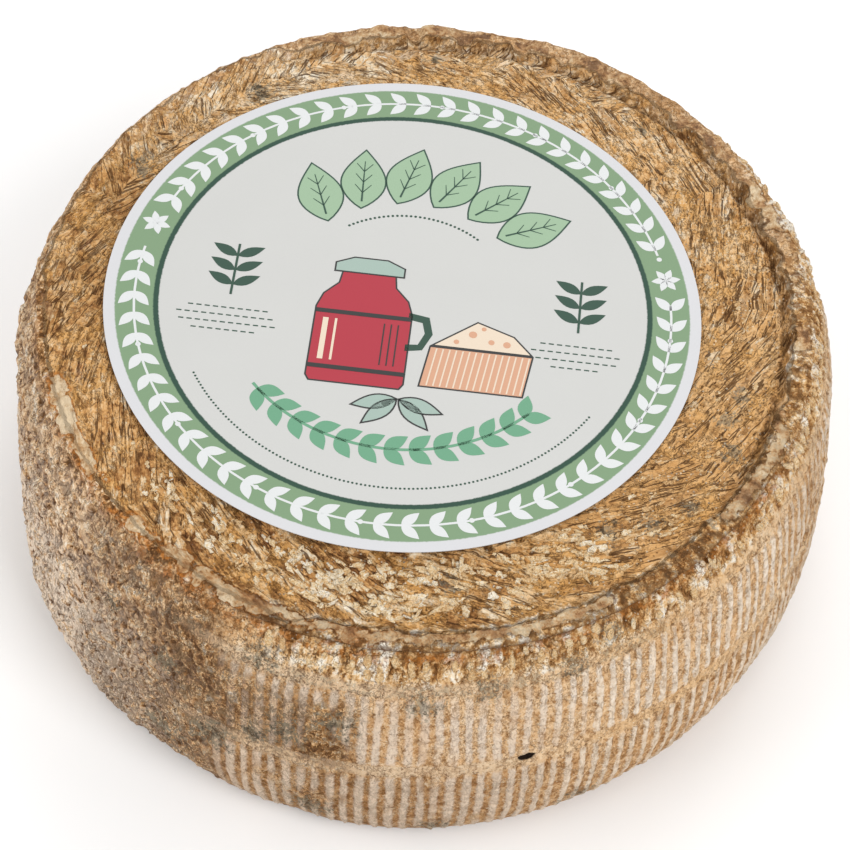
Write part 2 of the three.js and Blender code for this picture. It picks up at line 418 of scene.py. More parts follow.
@dataclass(frozen=True)
class Ripening:
    """How the rind aged round the wheel: where it darkened, paled, flaked and caught mould."""

    spots: tuple[MouldSpot, ...] = (
        MouldSpot(70, -101, 9), MouldSpot(62, -108, 9), MouldSpot(55, -112, 7),
        MouldSpot(44, -118, 11), MouldSpot(30, -126, 11), MouldSpot(72, -136, 5),
        MouldSpot(66, -126, 7), MouldSpot(82, -90, 8), MouldSpot(86, -82, 7),
        MouldSpot(88, -70, 6), MouldSpot(90, -112, 8), MouldSpot(94, -64, 6),
        MouldSpot(12, -88, 9), MouldSpot(14, -68, 10), MouldSpot(20, -104, 9),
        MouldSpot(40, 150, 12), MouldSpot(70, 60, 10), MouldSpot(117, -18, 5),
        MouldSpot(112.6, -30, 5), MouldSpot(111.8, -43, 4.5), MouldSpot(119, -24, 5),
        MouldSpot(116, -50, 5), MouldSpot(121, -57, 6), MouldSpot(119, -86, 5),
        MouldSpot(112, -98, 5), MouldSpot(114, 47, 3.5), MouldSpot(113, 88, 4),
        MouldSpot(116, 122, 6), MouldSpot(113, 150, 6),
    )

    dark_left: Zone = Zone(-130, 7, 10)
    dark_front: Zone = Zone(-112, 8, 10)
    dark_foot: Zone = Zone(-94, 12, 12)
    dull_back: Zone = Zone(120, 70, 30)
    dull_right: Zone = Zone(-2, 20, 18)
    dull_rim: Zone = Zone(-72, 40, 26)
    dull_top: Zone = Zone(160, 14, 16)
    bleached: Zone = Zone(-158, 14, 32)
    flaky: Zone = Zone(-98, 28, 26)

    def soil(self, station: Points, angle: Points) -> Points:
        """How much the rind is darkened, from nought to one."""
        upper_ribs = smooth(48, 56, station) * smooth(88, 80, station)
        wall = 0.92 * self.dark_left.at(angle) * (1 - 0.4 * upper_ribs)
        patch = smooth(90, 74, station) * (0.15 + 0.85 * smooth(40, 56, station))
        wall = wall + self.dark_front.at(angle) * patch
        wall = wall + 0.4 * self.dark_foot.at(angle) * smooth(50, 42, station)
        wall = wall + 0.2 * self.dull_back.at(angle) + 0.25 * self.dull_right.at(angle)
        foot = 0.5 * smooth(9, 1, station)
        rim = 0.45 * Stretch.RIM.cover(station, 1.0) * self.dull_rim.at(angle)
        top = 0.35 * smooth(106, 108, station) * self.dull_top.at(angle)
        return np.clip(wall * smooth(100, 96, station) + foot + rim + top, 0, 1)

    def ash(self, station: Points, angle: Points) -> Points:
        """How much the wall is bleached to a pinkish beige, from nought to one."""
        low = 0.35 + 0.65 * smooth(82, 52, station)
        return smooth(101, 92, station) * self.bleached.at(angle) * low

    def flaked(self, angle: Points) -> Points:
        """How thickly cream flakes lie on the top face, from nought to one."""
        return 0.22 + 0.78 * self.flaky.at(angle)

    def mould(self, base: Points, form: Form) -> Points:
        """How near each point is to the middle of a mould patch, one at the middle."""
        cover = np.zeros(len(base))
        for spot in self.spots:
            away = np.linalg.norm(base - np.array(form.spot(spot.station, spot.angle)), axis=1)
            cover = np.maximum(cover, 1 - away / spot.reach)
        return np.clip(cover, 0, 1)


class NodeBoard:
    """A material and the nodes on it."""

    def __init__(self, name: str) -> None:
        """Starts an empty material.

        Args:
            name: the finish's name.
        """
        self.material = bpy.data.materials.new(name)
        self.material.use_nodes = True
        self.tree = self.material.node_tree
        self.tree.nodes.clear()

    def add(
        self,
        kind: str,
        inputs: dict[int | str, Any] | None = None,
        stops: Iterable[tuple[float, str]] = (),
        **settings: Any,
    ) -> bpy.types.Node:
        """Adds one node with its settings and links.

        Args:
            kind: the node's type without its ShaderNode prefix.
            inputs: for each input, a node, a socket, a number, a tuple or an sRGB hex value.
            stops: positions and sRGB hex values of a colour ramp.
            settings: the node's own properties.

        Returns:
            The new node.
        """
        node = self.tree.nodes.new("ShaderNode" + kind)
        for key, value in settings.items():
            setattr(node, key, value)
        for key, value in (inputs or {}).items():
            socket = node.inputs[key]
            if isinstance(value, bpy.types.Node):
                value = next(out for out in value.outputs if out.enabled)
            if isinstance(value, bpy.types.NodeSocket):
                self.tree.links.new(value, socket)
            else:
                socket.default_value = linear(value) if isinstance(value, str) else value
        for index, (position, colour) in enumerate(stops):
            scale = node.color_ramp.elements
            stop = scale[index] if index < 2 else scale.new(position)
            stop.position = position
            stop.color = linear(colour)
        return node

    def millimetres(self) -> bpy.types.Node:
        """The object's own coordinates, in millimetres."""
        place = self.add("TexCoord").outputs["Object"]
        return self.add("VectorMath", {0: place, "Scale": 1 / MM}, operation="SCALE")

    def finish(self, shader: bpy.types.Node) -> bpy.types.Material:
        """Links the shader to the output and returns the material."""
        self.add("OutputMaterial", {"Surface": shader})
        return self.material


@dataclass(frozen=True)
class Grain:
    """One grain of a surface: its size in millimetres, and how its finer octaves fade and bend."""

    size: float
    detail: float
    roughness: float = 0.6
    bend: float = 0.0

    def over(self, place: Any) -> dict[int | str, Any]:
        """What a noise node reads to draw this grain over a place in millimetres."""
        shares = {"Detail": self.detail, "Roughness": self.roughness, "Distortion": self.bend}
        return {"Vector": place, "Scale": 1 / self.size, **shares}


@dataclass(frozen=True)
class Rind:
    """Natural rind, pressed in cloth and a ribbed mould and brushed while it ripened.

    It is dry and matt, with powdery crests, brown creases and thin flakes, so the eye sees the tone
    change at every scale from a third of a millimetre up. The rim's ribbon is smoother and waxy.
    Its creases, cracks and pits are painted darker, partly as shade in their recesses.
    """

    top: Ramp = (
        (0.0, "#6F4829"), (0.2, "#AA7A49"), (0.36, "#CA9960"), (0.5, "#DAAE79"),
        (0.64, "#DEBB8E"), (0.8, "#E5D0B0"), (1.0, "#EEE2CE"),
    )
    valley: Ramp = (
        (0.0, "#84592F"), (0.25, "#BF9262"), (0.5, "#DEB98E"), (0.75, "#E7CAA5"),
        (1.0, "#EFDDC2"),
    )
    crown: Ramp = (
        (0.0, "#C4A482"), (0.35, "#E0CAB0"), (0.65, "#EADAC7"), (1.0, "#F3EAE0"),
    )
    worn: Ramp = (
        (0.0, "#5E3E22"), (0.2, "#96693D"), (0.38, "#C49664"), (0.55, "#DBB281"),
        (0.75, "#E9CDA6"), (1.0, "#F4E8D6"),
    )
    crumbly: Ramp = (
        (0.0, "#5E3E20"), (0.22, "#9C6C3C"), (0.42, "#CB9E67"), (0.6, "#DFB988"),
        (0.78, "#E9D2B0"), (1.0, "#F1E8D8"),
    )
    wax: Ramp = (
        (0.15, "#5A3A20"), (0.36, "#91673F"), (0.52, "#B38D61"), (0.7, "#C6AC87"),
        (0.9, "#D8C6A6"),
    )
    aged_seam: str = "#D0BCA3"
    gold: str = "#D29C54"
    aged_crown: str = "#DCC6B0"
    streak: str = "#8E5F33"
    thread: str = "#4C2F18"
    pit: str = "#96683C"
    # Painted shade inside the pinhole
    pinhole_and_shade: str = "#1F140C"
    speck: str = "#EADCC2"
    stain: str = "#B9722E"
    mould_tone: str = "#7F7866"
    mould_dark: str = "#403A2F"
    soil_tone: str = "#5E4831"
    ash_tone: str = "#E8D6C2"
    blush: str = "#A8485A"
    roughness: float = 0.8
    wax_roughness: float = 0.5
    glint: float = 0.12
    wax_glint: float = 0.24
    ior: float = 1.45
    mottle: Grain = Grain(9.0909, 4.0)
    curl: Grain = Grain(2.38095, 3.0)
    tuft: Grain = Grain(2.0, 4.0, 0.66)
    fine: Grain = Grain(0.66667, 3.0, 0.75)
    crease: Grain = Grain(1.6129, 2.0, 0.7)
    scab: Grain = Grain(3.7037, 3.0, 0.7)
    mark: Grain = Grain(3.33333, 3.0, 0.6, 0.4)
    hair: Grain = Grain(1.25, 2.0, 0.6, 0.6)
    flake_size: float = 2.38095
    lump_size: float = 5.0
    pit_size: float = 0.95238


@dataclass(frozen=True)
class ToneZones:
    """Stretches round the wheel where the rind's tones change."""

    old_rim: Zone = Zone(-148, 30, 10)
    calm_top: Zone = Zone(-40, 26, 24)
    pale_back: Zone = Zone(80, 42, 34)
    pale_back_left: Zone = Zone(122, 16, 18)
    pale_right: Zone = Zone(0, 14, 14)
    broad_ribs: Zone = Zone(-100, 16, 12)
    dull_ribs: Zone = Zone(-104, 13, 10)
    dull_upper_ribs: Zone = Zone(-12, 14, 10)
    aged_crowns: Zone = Zone(-106, 26, 16)
    pale_seam: Zone = Zone(-22, 20, 14)
    aged_seam: Zone = Zone(-108, 22, 14)
    golden_seam: Zone = Zone(-52, 8, 10)
    mouldy_seam: Zone = Zone(-95, 25, 25)
    dull_shoulder: Zone = Zone(-28, 28, 14)
    pale_wax: Zone = Zone(-135, 28, 8)
    palest_wax: Zone = Zone(-158, 12, 10)
    dull_wax: Zone = Zone(100, 60, 20)
    bare_rim: Zone = Zone(-50, 50, 16)
    brown_rim: Zone = Zone(80, 85, 20)
    stained_beads: Zone = Zone(-132, 32, 10)
    dark_edges: Zone = Zone(-50, 70, 14)


class RindPainter:
    """Lays the rind's tones on one material, part by part of the wheel's outline.

    The wheel's mesh carries a field for each large change of the rind, such as its ribs, plates and
    mould. The painter adds the grain that is finer than the mesh. Noise lies about a half, so a part
    that is weighed in is usually levelled again with a constant of minus half its weight. Where the mesh
    or the bump sinks a crack, crease, pit, line or rift, the painter darkens it too: partly the rind's own
    brown, partly painted shade in the recess.
    """

    zones: ToneZones = ToneZones()
    seam_edges: Triple = (47.0, 52.6, 85.4)

    def __init__(self, rind: Rind, form: Form, strokes: Strokes, name: str) -> None:
        """Starts the material with the coordinates and grains that every part reads.

        Args:
            rind: the finish.
            form: the wheel's form, for its lean and ribs.
            strokes: the cloth marks on the top face.
            name: the material's name.
        """
        self.rind = rind
        self.form = form
        self.strokes = strokes
        self.board = NodeBoard(name)
        add = self.board.add
        place = self.board.millimetres()
        self.place = place
        split = add("SeparateXYZ", {0: place})
        upright = [
            add("Math", {0: split.outputs[2], 1: -lean, 2: split.outputs[axis]}, operation="MULTIPLY_ADD")
            for axis, lean in enumerate(form.lean)
        ]
        self.angle = add("Math", {0: upright[1], 1: upright[0]}, operation="ARCTAN2")
        self.exact_station = self._field("station")
        self.mottle = add("TexNoise", rind.mottle.over(place))
        self.curl = add("TexNoise", rind.curl.over(place))
        self.station = self._blend(self.exact_station, (self.curl, 2.2), (1.0, -1.1))
        over = self._blend(self.station, (self._field("rounded"), 4.5))
        over = self._blend(over, (self._facing(self.zones.old_rim), 2.0))
        start = Stretch.TOP.value[0]
        self.on_top = self._rise(over, start - 0.6, start + 0.6)
        # Grain coordinates run along the cloth marks on the top, and up the ribs on the wall
        self.stroke = self._stretched(self._folded(), (0.48, 1.0, 0.6))
        fibre = self._stretched(place, (1.0, 1.0, 0.6))
        along = add("Mix", {0: self.on_top, 4: fibre, 5: self.stroke}, data_type="VECTOR").outputs[1]
        warp = add("VectorMath", {0: self.curl.outputs["Color"], 1: (0.5, 0.5, 0.5)}, operation="SUBTRACT")
        warp = add("VectorMath", {0: warp, "Scale": 2.6}, operation="SCALE")
        curled = add("VectorMath", {0: along, 1: warp}, operation="ADD")
        self.tuft = add("TexNoise", rind.tuft.over(along))
        self.fine = add("TexNoise", rind.fine.over(along))
        # Small flakes with cracks between them, darkened in _aged partly for their own brown and partly as
        # painted shade where the bump sinks them
        cell = {"Vector": curled, "Scale": 1 / rind.flake_size}
        self.flake = add("SeparateColor", {0: add("TexVoronoi", cell).outputs["Color"]})
        edge = add("TexVoronoi", cell, feature="DISTANCE_TO_EDGE")
        self.crack = self._times(self._rise(edge, 0.1, 0.02), self._rise(self.tuft, 0.54, 0.42))
        # Lumps of worn rind, with a dark rent at their edges and a pale band inside them, partly paler crust
        # and partly a painted highlight on the raised edge
        large = add("VectorMath", {0: warp, "Scale": 1.6}, operation="SCALE")
        large = add("VectorMath", {0: fibre, 1: large}, operation="ADD")
        edge = add("TexVoronoi", {"Vector": large, "Scale": 1 / rind.lump_size}, feature="DISTANCE_TO_EDGE")
        lip_and_highlight = self._times(self._rise(edge, 0.19, 0.11), self._rise(edge, 0.035, 0.08))
        self.lip_and_highlight = self._times(lip_and_highlight, self._rise(self.tuft, 0.42, 0.54))
        self.rent = self._times(self._rise(edge, 0.045, 0.012), self._rise(self.tuft, 0.56, 0.44))
        # Thread-like creases, pits and specks; the creases and pits are darkened partly as painted shade
        # where the bump sinks them
        ridge = self._ridge(add("TexNoise", rind.crease.over(curled)))
        self.thread = self._times(self._rise(ridge, 0.034, 0.01), self._rise(self.mottle, 0.38, 0.54))
        dots = add("TexVoronoi", {"Vector": place, "Scale": 1 / rind.pit_size})
        chance = add("SeparateColor", {0: dots.outputs["Color"]})
        spot = self._rise(dots.outputs["Distance"], 0.42, 0.2)
        self.pit = self._times(spot, self._rise(chance.outputs[0], 0.62, 0.66))
        self.speck = self._times(spot, self._rise(chance.outputs[1], 0.78, 0.82))
        self.plate = self._field("plate")
        self.rift = self._field("rift")
        self.soil = self._field("soil")
        self.rib_wear = self._field("rib_wear")
        self.wax = self._rise(self._blend(self._field("wax"), (self.fine, 0.7), (1.0, -0.35)), 0.4, 0.62)

    def _field(self, name: str) -> bpy.types.NodeSocket:
        """A field of the wheel's mesh."""
        return self.board.add("Attribute", attribute_name=name).outputs["Fac"]

    def _stretched(self, place: Any, shares: Triple) -> bpy.types.Node:
        """Coordinates scaled along each axis, which stretches the grain that reads them."""
        return self.board.add("VectorMath", {0: place, 1: shares}, operation="MULTIPLY")

    def _ridge(self, value: Any) -> bpy.types.Node:
        """How far noise is from a half, which is nought along thin winding lines."""
        return self.board.add("Math", {0: self._blend(-0.5, (value, 1.0))}, operation="ABSOLUTE")

    def _rise(self, value: Any, low: float, high: float) -> bpy.types.Node:
        """Nought at low and one at high, level at both ends."""
        if low < high:
            inputs = {0: value, 1: low, 2: high, 3: 0.0, 4: 1.0}
        else:
            inputs = {0: value, 1: high, 2: low, 3: 1.0, 4: 0.0}
        return self.board.add("MapRange", inputs, interpolation_type="SMOOTHSTEP")

    def _times(self, *values: Any) -> Any:
        """The product of several values."""
        product = values[0]
        for value in values[1:]:
            product = self.board.add("Math", {0: product, 1: value}, operation="MULTIPLY")
        return product

    def _blend(self, start: Any, *parts: tuple[Any, float]) -> Any:
        """A value to which each part is added by its weight."""
        total = start
        for value, weight in parts:
            total = self.board.add("Math", {0: value, 1: weight, 2: total}, operation="MULTIPLY_ADD")
        return total

    def _over(self, colour: Any, tone: Any, *covers: Any) -> Any:
        """Lays a tone over a colour where the product of the covers is one."""
        cover = self._times(*covers)
        return self.board.add("Mix", {0: cover, 6: colour, 7: tone}, data_type="RGBA").outputs[2]

    def _within(self, stretch: Stretch, soft: float) -> Any:
        """One inside a part of the outline, nought outside it."""
        low, high = stretch.value
        start = self._rise(self.station, low - soft / 2, low + soft / 2)
        end = self._rise(self.station, high + soft / 2, high - soft / 2)
        return self._times(start, end)

    def _toward(self, middle: float) -> bpy.types.Node:
        """The cosine of how far a point is turned away from an angle in degrees."""
        away = self.board.add("Math", {0: self.angle, 1: math.radians(middle)}, operation="SUBTRACT")
        return self.board.add("Math", {0: away}, operation="COSINE")

    def _facing(self, zone: Zone) -> Any:
        """One inside a stretch round the wheel, fading to nought outside it."""
        outer = math.cos(math.radians(min(zone.reach + zone.fade, 180)))
        return self._rise(self._toward(zone.middle), outer, math.cos(math.radians(zone.reach)))

    def _folded(self) -> Any:
        """Coordinates that run along and across the cloth marks of each fold, as Strokes does."""
        add = self.board.add
        strokes = self.strokes
        fold = math.radians(strokes.fold)
        drift = self._field("drift")
        count = self._blend(self._times(self.angle, 1 / fold), (drift, strokes.fold_play))
        index = add("Math", {0: count}, operation="ROUND")
        play = add("Math", {0: self._times(index, strokes.play_turn)}, operation="SINE")
        edge = self._blend(strokes.outer_station, (drift, strokes.outer_play))
        outside = add("Math", {0: self.exact_station, 1: edge}, operation="LESS_THAN")
        reach = math.cos(math.radians(strokes.outer_reach))
        facing = add("Math", {0: self._toward(strokes.outer_angle), 1: reach}, operation="GREATER_THAN")
        turned = self._times(outside, facing)
        slant = self._blend(math.radians(strokes.slant), (play, math.radians(strokes.slant_play)))
        slant = self._blend(slant, (turned, math.radians(strokes.outer_slant - strokes.slant)))
        back = self._times(self._blend(slant, (index, fold)), -1.0)
        return add("VectorRotate", {"Vector": self.place, "Angle": back}, rotation_type="Z_AXIS")

    def _top(self) -> Any:
        """Tones of the golden top face: cloth marks, plates, cracks and flakes."""
        add = self.board.add
        rind, zones = self.rind, self.zones
        flaked = self._field("flaked")
        flake = self._blend(-0.5, (self.flake.outputs[0], 1.0))
        flake = self._times(flake, self._blend(0.22, (flaked, 0.3)))
        value = self._blend(-0.66, (self.tuft, 0.85), (self.fine, 0.95), (self.mottle, 0.5), (flake, 0.7))
        # The sunk rifts between plates are darkened partly as painted shade
        value = self._blend(value, (self.plate, 0.14), (self.rift, -0.16))
        calm = self._times(self._facing(zones.calm_top), 0.6)
        value = self._blend(value, (self._times(self._blend(0.46, (value, -1.0)), calm), 1.0))
        value = self._blend(value, (self._facing(zones.pale_back), 0.15))
        # Scabs: pale crust that lies on the marks in ragged islands, most where the top is flaked
        scab = add("TexNoise", rind.scab.over(self._stretched(self.stroke, (0.5, 0.9, 0.5))))
        scab = self._blend(scab, (self.tuft, 0.25), (1.0, -0.125))
        ragged = add("Math", {0: scab, 1: self._blend(0.68, (flaked, -0.145))}, operation="SUBTRACT")
        self.scab = self._rise(ragged, -0.012, 0.012)
        value = self._blend(value, (self.scab, 0.23), (flaked, -0.11))
        value = self._blend(value, (self._facing(zones.pale_back_left), 0.13))
        value = self._blend(value, (self._facing(zones.pale_right), 0.06))
        tone = add("ValToRGB", {0: value}, stops=rind.top)
        # The marks: brown streaks, and thin dark lines along their middles, which the bump sinks, so their
        # darkness is partly painted shade
        mark = add("TexNoise", rind.mark.over(self._stretched(self.stroke, (0.22, 1.0, 0.3))))
        streak = self._times(self._rise(mark, 0.47, 0.36), self._blend(1.0, (self.scab, -0.8)), 0.45)
        tone = self._over(tone, rind.streak, streak)
        line = self._rise(self._ridge(mark), 0.03, 0.01)
        self.line = self._times(line, self._rise(self.mottle, 0.68, 0.48))
        hair = add("TexNoise", rind.hair.over(self._stretched(self.stroke, (0.4, 1.0, 0.3))))
        hair = self._times(self._rise(self._ridge(hair), 0.024, 0.008), self._rise(self.tuft, 0.54, 0.46))
        tone = self._over(tone, rind.thread, hair, self._blend(0.6, (calm, -0.3)))
        tone = self._over(tone, rind.thread, self.line, 0.85)
        golden = self._times(self._rise(self.mottle, 0.46, 0.62), 0.4)
        tone = self._over(tone, rind.gold, golden)
        tint = self._rise(self.flake.outputs[2], 0.985, 0.995)
        return self._over(tone, rind.blush, tint, flaked, 0.3)

    def _wall(self) -> Any:
        """Tones of the wall below the shoulder: ribs, and a worn, mottled rind between and beside them."""
        add = self.board.add
        rind, zones = self.rind, self.zones
        phase = self._blend(self._field("sway"), (self.angle, float(self.form.rib_count)))
        wave = add("Math", {0: phase}, operation="COSINE")
        rough = self._blend(wave, (self.tuft, 2.0), (self.fine, 1.8), (1.0, -1.9))
        broad = self._facing(zones.broad_ribs)
        rough = self._times(rough, self._blend(1.0, (broad, -0.15)))
        self.wave = self._rise(self._blend(rough, (broad, 0.3)), -0.42, 0.72)
        self.crest = self._times(self.wave, self._field("ribbed"))
        grit = self._blend(-0.87, (self.tuft, 1.05), (self.fine, 1.05), (self.mottle, 0.6))
        # Painted shade: the lower tier of the wall, below the lower seam, is darkened
        low = self._rise(self.exact_station, 52, 42)
        grit = self._blend(grit, (low, -0.16), (self._facing(zones.dull_ribs), -0.1), (self.soil, -0.07))
        high = self._rise(self.exact_station, 50, 58)
        grit = self._blend(grit, (self._times(high, self._facing(zones.dull_upper_ribs)), -0.11))
        flake = self._blend(-0.5, (self.flake.outputs[0], 1.0))
        valley = add("ValToRGB", {0: self._blend(grit, (flake, 0.12))}, stops=rind.valley)
        crown = add("ValToRGB", {0: self._blend(grit, (1.0, 0.05))}, stops=rind.crown)
        crown = self._over(crown, rind.aged_crown, self._facing(zones.aged_crowns), 0.7)
        clean = self._over(valley, crown, self.crest)
        lumps = ((self.mottle, 1.4), (self.curl, 1.6), (self.tuft, 0.9), (self.fine, 0.3))
        # The pale band inside each lump is partly a painted highlight; the sunk rifts are darkened partly as
        # painted shade
        value = self._blend(-1.7, *lumps, (self.lip_and_highlight, 0.36), (self.plate, 0.2), (self.rift, -0.25))
        worn = add("ValToRGB", {0: self._blend(value, (self.soil, -0.05))}, stops=rind.worn)
        worn = self._over(worn, rind.thread, self.rent, 0.85)
        wear = self._rise(self._blend(self.rib_wear, (self.soil, 0.6)), 0.3, 0.9)
        return self._over(clean, worn, wear)

    def _seams(self, colour: Any) -> Any:
        """Lays the two smooth seams over the wall, with a broken brown crease along each edge."""
        add = self.board.add
        rind, zones = self.rind, self.zones
        lower = self._within(Stretch.LOWER_SEAM, 1.4)
        upper = self._times(self._within(Stretch.UPPER_SEAM, 1.6), 0.85)
        value = self._blend(-0.43, (self.tuft, 0.9), (self.fine, 0.7), (self.mottle, 0.4))
        value = self._blend(value, (self._facing(zones.pale_seam), 0.1))
        tone = add("ValToRGB", {0: value}, stops=rind.valley)
        tone = self._over(tone, rind.aged_seam, self._facing(zones.aged_seam), 0.5)
        tone = self._over(tone, rind.gold, self._facing(zones.golden_seam), 0.28)
        kept = self._blend(0.9, (self.rib_wear, -0.6), (self.soil, -0.3))
        colour = self._over(colour, tone, self._blend(lower, (upper, 1.0)), kept)
        green = self._blend(self.curl, (self.fine, 0.8), (1.0, -0.4))
        green = self._times(self._rise(green, 0.42, 0.6), 0.55)
        green = self._times(upper, green, self._blend(0.3, (self._facing(zones.mouldy_seam), 0.7)))
        colour = self._over(colour, rind.mould_tone, green)
        for at in self.seam_edges:
            away = self._blend(self.exact_station, (self.curl, 3.0), (1.0, -1.5 - at))
            away = add("Math", {0: away}, operation="ABSOLUTE")
            line = self._times(self._rise(away, 0.42, 0.1), self._rise(self.tuft, 0.5, 0.42), 0.65)
            colour = self._over(colour, rind.thread, line)
        return colour

    def _shoulder(self, colour: Any) -> Any:
        """Lays the crumbly shoulder, its orange stain and painted shade in the crevice under the rim over the
        wall.
        """
        value = self._blend(-0.86, (self.tuft, 1.1), (self.fine, 1.1), (self.mottle, 0.5))
        # The sunk rifts between crumbs are darkened partly as painted shade
        value = self._blend(value, (self.plate, 0.34), (self.rift, -0.26), (self.flake.outputs[0], 0.16))
        value = self._blend(value, (self.wave, 0.2), (self._facing(self.zones.dull_shoulder), -0.08))
        value = self._blend(value, (self.soil, -0.14), (1.0, 0.03))
        self.crumbs = self.board.add("ValToRGB", {0: value}, stops=self.rind.crumbly)
        colour = self._over(colour, self.crumbs, self._field("crumbly"))
        near_rim = self._rise(self.station, 93.5, 97.5)
        leaving = self._rise(self.station, 101.6, 100.2)
        stain = self._times(near_rim, leaving, self._rise(self.curl, 0.42, 0.62), self._field("stained"))
        colour = self._over(colour, self.rind.stain, stain, 0.75)
        # Painted shade in the crevice under the rim's outer edge, where the crevice is open
        crevice = self._times(self._rise(self.station, 97.6, 98.8), self._rise(self.station, 102.0, 101.2))
        dark = self._times(crevice, self._field("opened"), self._rise(self.tuft, 0.76, 0.56))
        return self._over(colour, self.rind.thread, dark, 0.85)

    def _rim(self, colour: Any) -> Any:
        """Lays the waxy ribbon of the rim, with painted shade in the groove inside it, over a colour."""
        rind, zones = self.rind, self.zones
        on_rim = self._within(Stretch.RIM, 1.5)
        # Crumbly rind where the ribbon is missing, dark in places, and brown patches along the back
        bare = self._times(on_rim, self._blend(1.0, (self.wax, -1.0)), self._facing(zones.bare_rim))
        colour = self._over(colour, self.crumbs, bare)
        colour = self._over(colour, rind.soil_tone, bare, self._rise(self.curl, 0.46, 0.56), 0.52)
        brown = self._rise(self._blend(self.curl, (self.tuft, 0.5), (1.0, -0.25)), 0.5, 0.58)
        colour = self._over(colour, rind.pit, on_rim, self._facing(zones.brown_rim), brown, 0.6)
        edged = self._times(self._rise(self._field("wax"), 0.04, 0.2), self._facing(zones.stained_beads))
        colour = self._over(colour, rind.stain, edged, 0.6)
        # Painted shade in the groove inside the rim
        cleft_and_shade = self._times(self._field("cleft_and_shade"), self._rise(self.tuft, 0.62, 0.42))
        colour = self._over(colour, rind.thread, cleft_and_shade, 0.8)
        # The ribbon, crossed by fine cracks, and the dark lines along its edges
        value = self._blend(-1.56, (self.mottle, 2.2), (self.tuft, 1.2), (self.fine, 0.7))
        value = self._blend(value, (self._facing(zones.pale_wax), 0.14))
        value = self._blend(value, (self._facing(zones.palest_wax), 0.12))
        value = self._blend(value, (self._facing(zones.dull_wax), -0.1))
        ribbon = self.board.add("ValToRGB", {0: value}, stops=rind.wax)
        colour = self._over(colour, ribbon, self.wax, 0.85)
        crossed = self._times(self.wax, self._rise(self.tuft, 0.44, 0.36), 0.35)
        colour = self._over(colour, rind.thread, crossed)
        edge = self._blend(self._field("wax"), (self.fine, 0.5), (1.0, -0.25))
        edge = self._times(self._rise(edge, 0.06, 0.2), self._rise(edge, 0.6, 0.36))
        edge = self._times(edge, self._rise(self.tuft, 0.62, 0.46))
        return self._over(colour, rind.thread, edge, self._facing(zones.dark_edges), 0.75)

    def _aged(self, colour: Any) -> Any:
        """Lays mould, soil, bleaching, cracks, pits and specks over a colour, with painted shade in the
        pinhole.
        """
        rind = self.rind
        dry = self._blend(1.0, (self.wax, -0.75))
        ash = self._times(self._field("ash"), self._rise(self.curl, 0.32, 0.56), 0.85)
        colour = self._over(colour, rind.ash_tone, ash)
        soil = self._blend(self.curl, (self.tuft, 0.9), (self.fine, 0.9), (1.0, -0.9))
        soil = self._times(self.soil, self._blend(0.06, (self._rise(soil, 0.43, 0.61), 0.7)))
        colour = self._over(colour, rind.soil_tone, soil)
        mould = self._field("mould")
        reach = self._blend(mould, (self.curl, 2.4), (self.fine, 2.8), (1.0, -2.6))
        mould = self._times(self._rise(reach, 0.35, 0.7), self._rise(mould, 0.02, 0.3), dry)
        colour = self._over(colour, rind.mould_tone, mould, 0.65)
        black = self._times(self._rise(reach, 0.5, 0.95), self._rise(self.tuft, 0.52, 0.4))
        colour = self._over(colour, rind.mould_dark, black, 0.75)
        plain = self._blend(1.0, (self.rib_wear, -0.85), (self.soil, -0.8))
        colour = self._over(colour, rind.speck, self.speck, dry, plain, 0.6)
        clear = self._blend(1.0, (self._times(self.scab, self.on_top), -0.7))
        kept = self._times(dry, self._blend(1.0, (self.crest, -0.7)), clear)
        # Pits, creases and cracks: their own brown, and partly painted shade where the bump sinks them
        old = self._over(rind.pit, rind.thread, self._field("old"))
        colour = self._over(colour, old, self.pit, kept, plain, 0.6)
        colour = self._over(colour, old, self.thread, kept, 0.6)
        cracked = self._blend(0.35, (self.rib_wear, 0.15), (self._field("crumbly"), 0.4), (self.on_top, -0.1))
        colour = self._over(colour, old, self.crack, kept, cracked)
        # Painted shade inside the pinhole, darkest at its middle
        pinhole_and_shade = self._blend(self._field("pinhole_and_shade"), (self.tuft, 0.4), (1.0, -0.2))
        return self._over(colour, rind.pinhole_and_shade, self._rise(pinhole_and_shade, 0.3, 0.5))

    def _height(self) -> Any:
        """Relief finer than the mesh, in millimetres."""
        rough = self._blend(0.0, (self.tuft, 0.6), (self.fine, 0.34), (self.flake.outputs[0], 0.12))
        rough = self._blend(rough, (self.crack, -0.24), (self.thread, -0.18))
        rough = self._blend(rough, (self.pit, -0.18), (self.speck, 0.1))
        marks = self._times(self._blend(self._times(self.scab, 0.22), (self.line, -0.25)), self.on_top)
        rough = self._blend(rough, (marks, 1.0))
        rough = self._blend(rough, (self._times(self.fine, self.rib_wear), -0.12))
        rough = self._times(rough, self._blend(1.0, (self.wax, -0.7)))
        return self._blend(rough, (self.crest, 0.15), (self.wax, 0.1))

    def dress(self) -> bpy.types.Material:
        """Joins the parts and returns the finished material."""
        add = self.board.add
        colour = self._seams(self._wall())
        colour = self._shoulder(colour)
        colour = self._over(colour, self._top(), self.on_top)
        colour = self._rim(colour)
        colour = self._aged(colour)
        bump = add("Bump", {"Height": self._height(), "Distance": 1.0 * MM, "Strength": 1.0})
        shine = add("MapRange", {0: self.wax, 3: self.rind.roughness, 4: self.rind.wax_roughness})
        glint = add("MapRange", {0: self.wax, 3: self.rind.glint, 4: self.rind.wax_glint})
        look = {"Base Color": colour, "Roughness": shine, "Normal": bump, "IOR": self.rind.ior}
        shader = add("BsdfPrincipled", {**look, "Specular IOR Level": glint})
        return self.board.finish(shader)


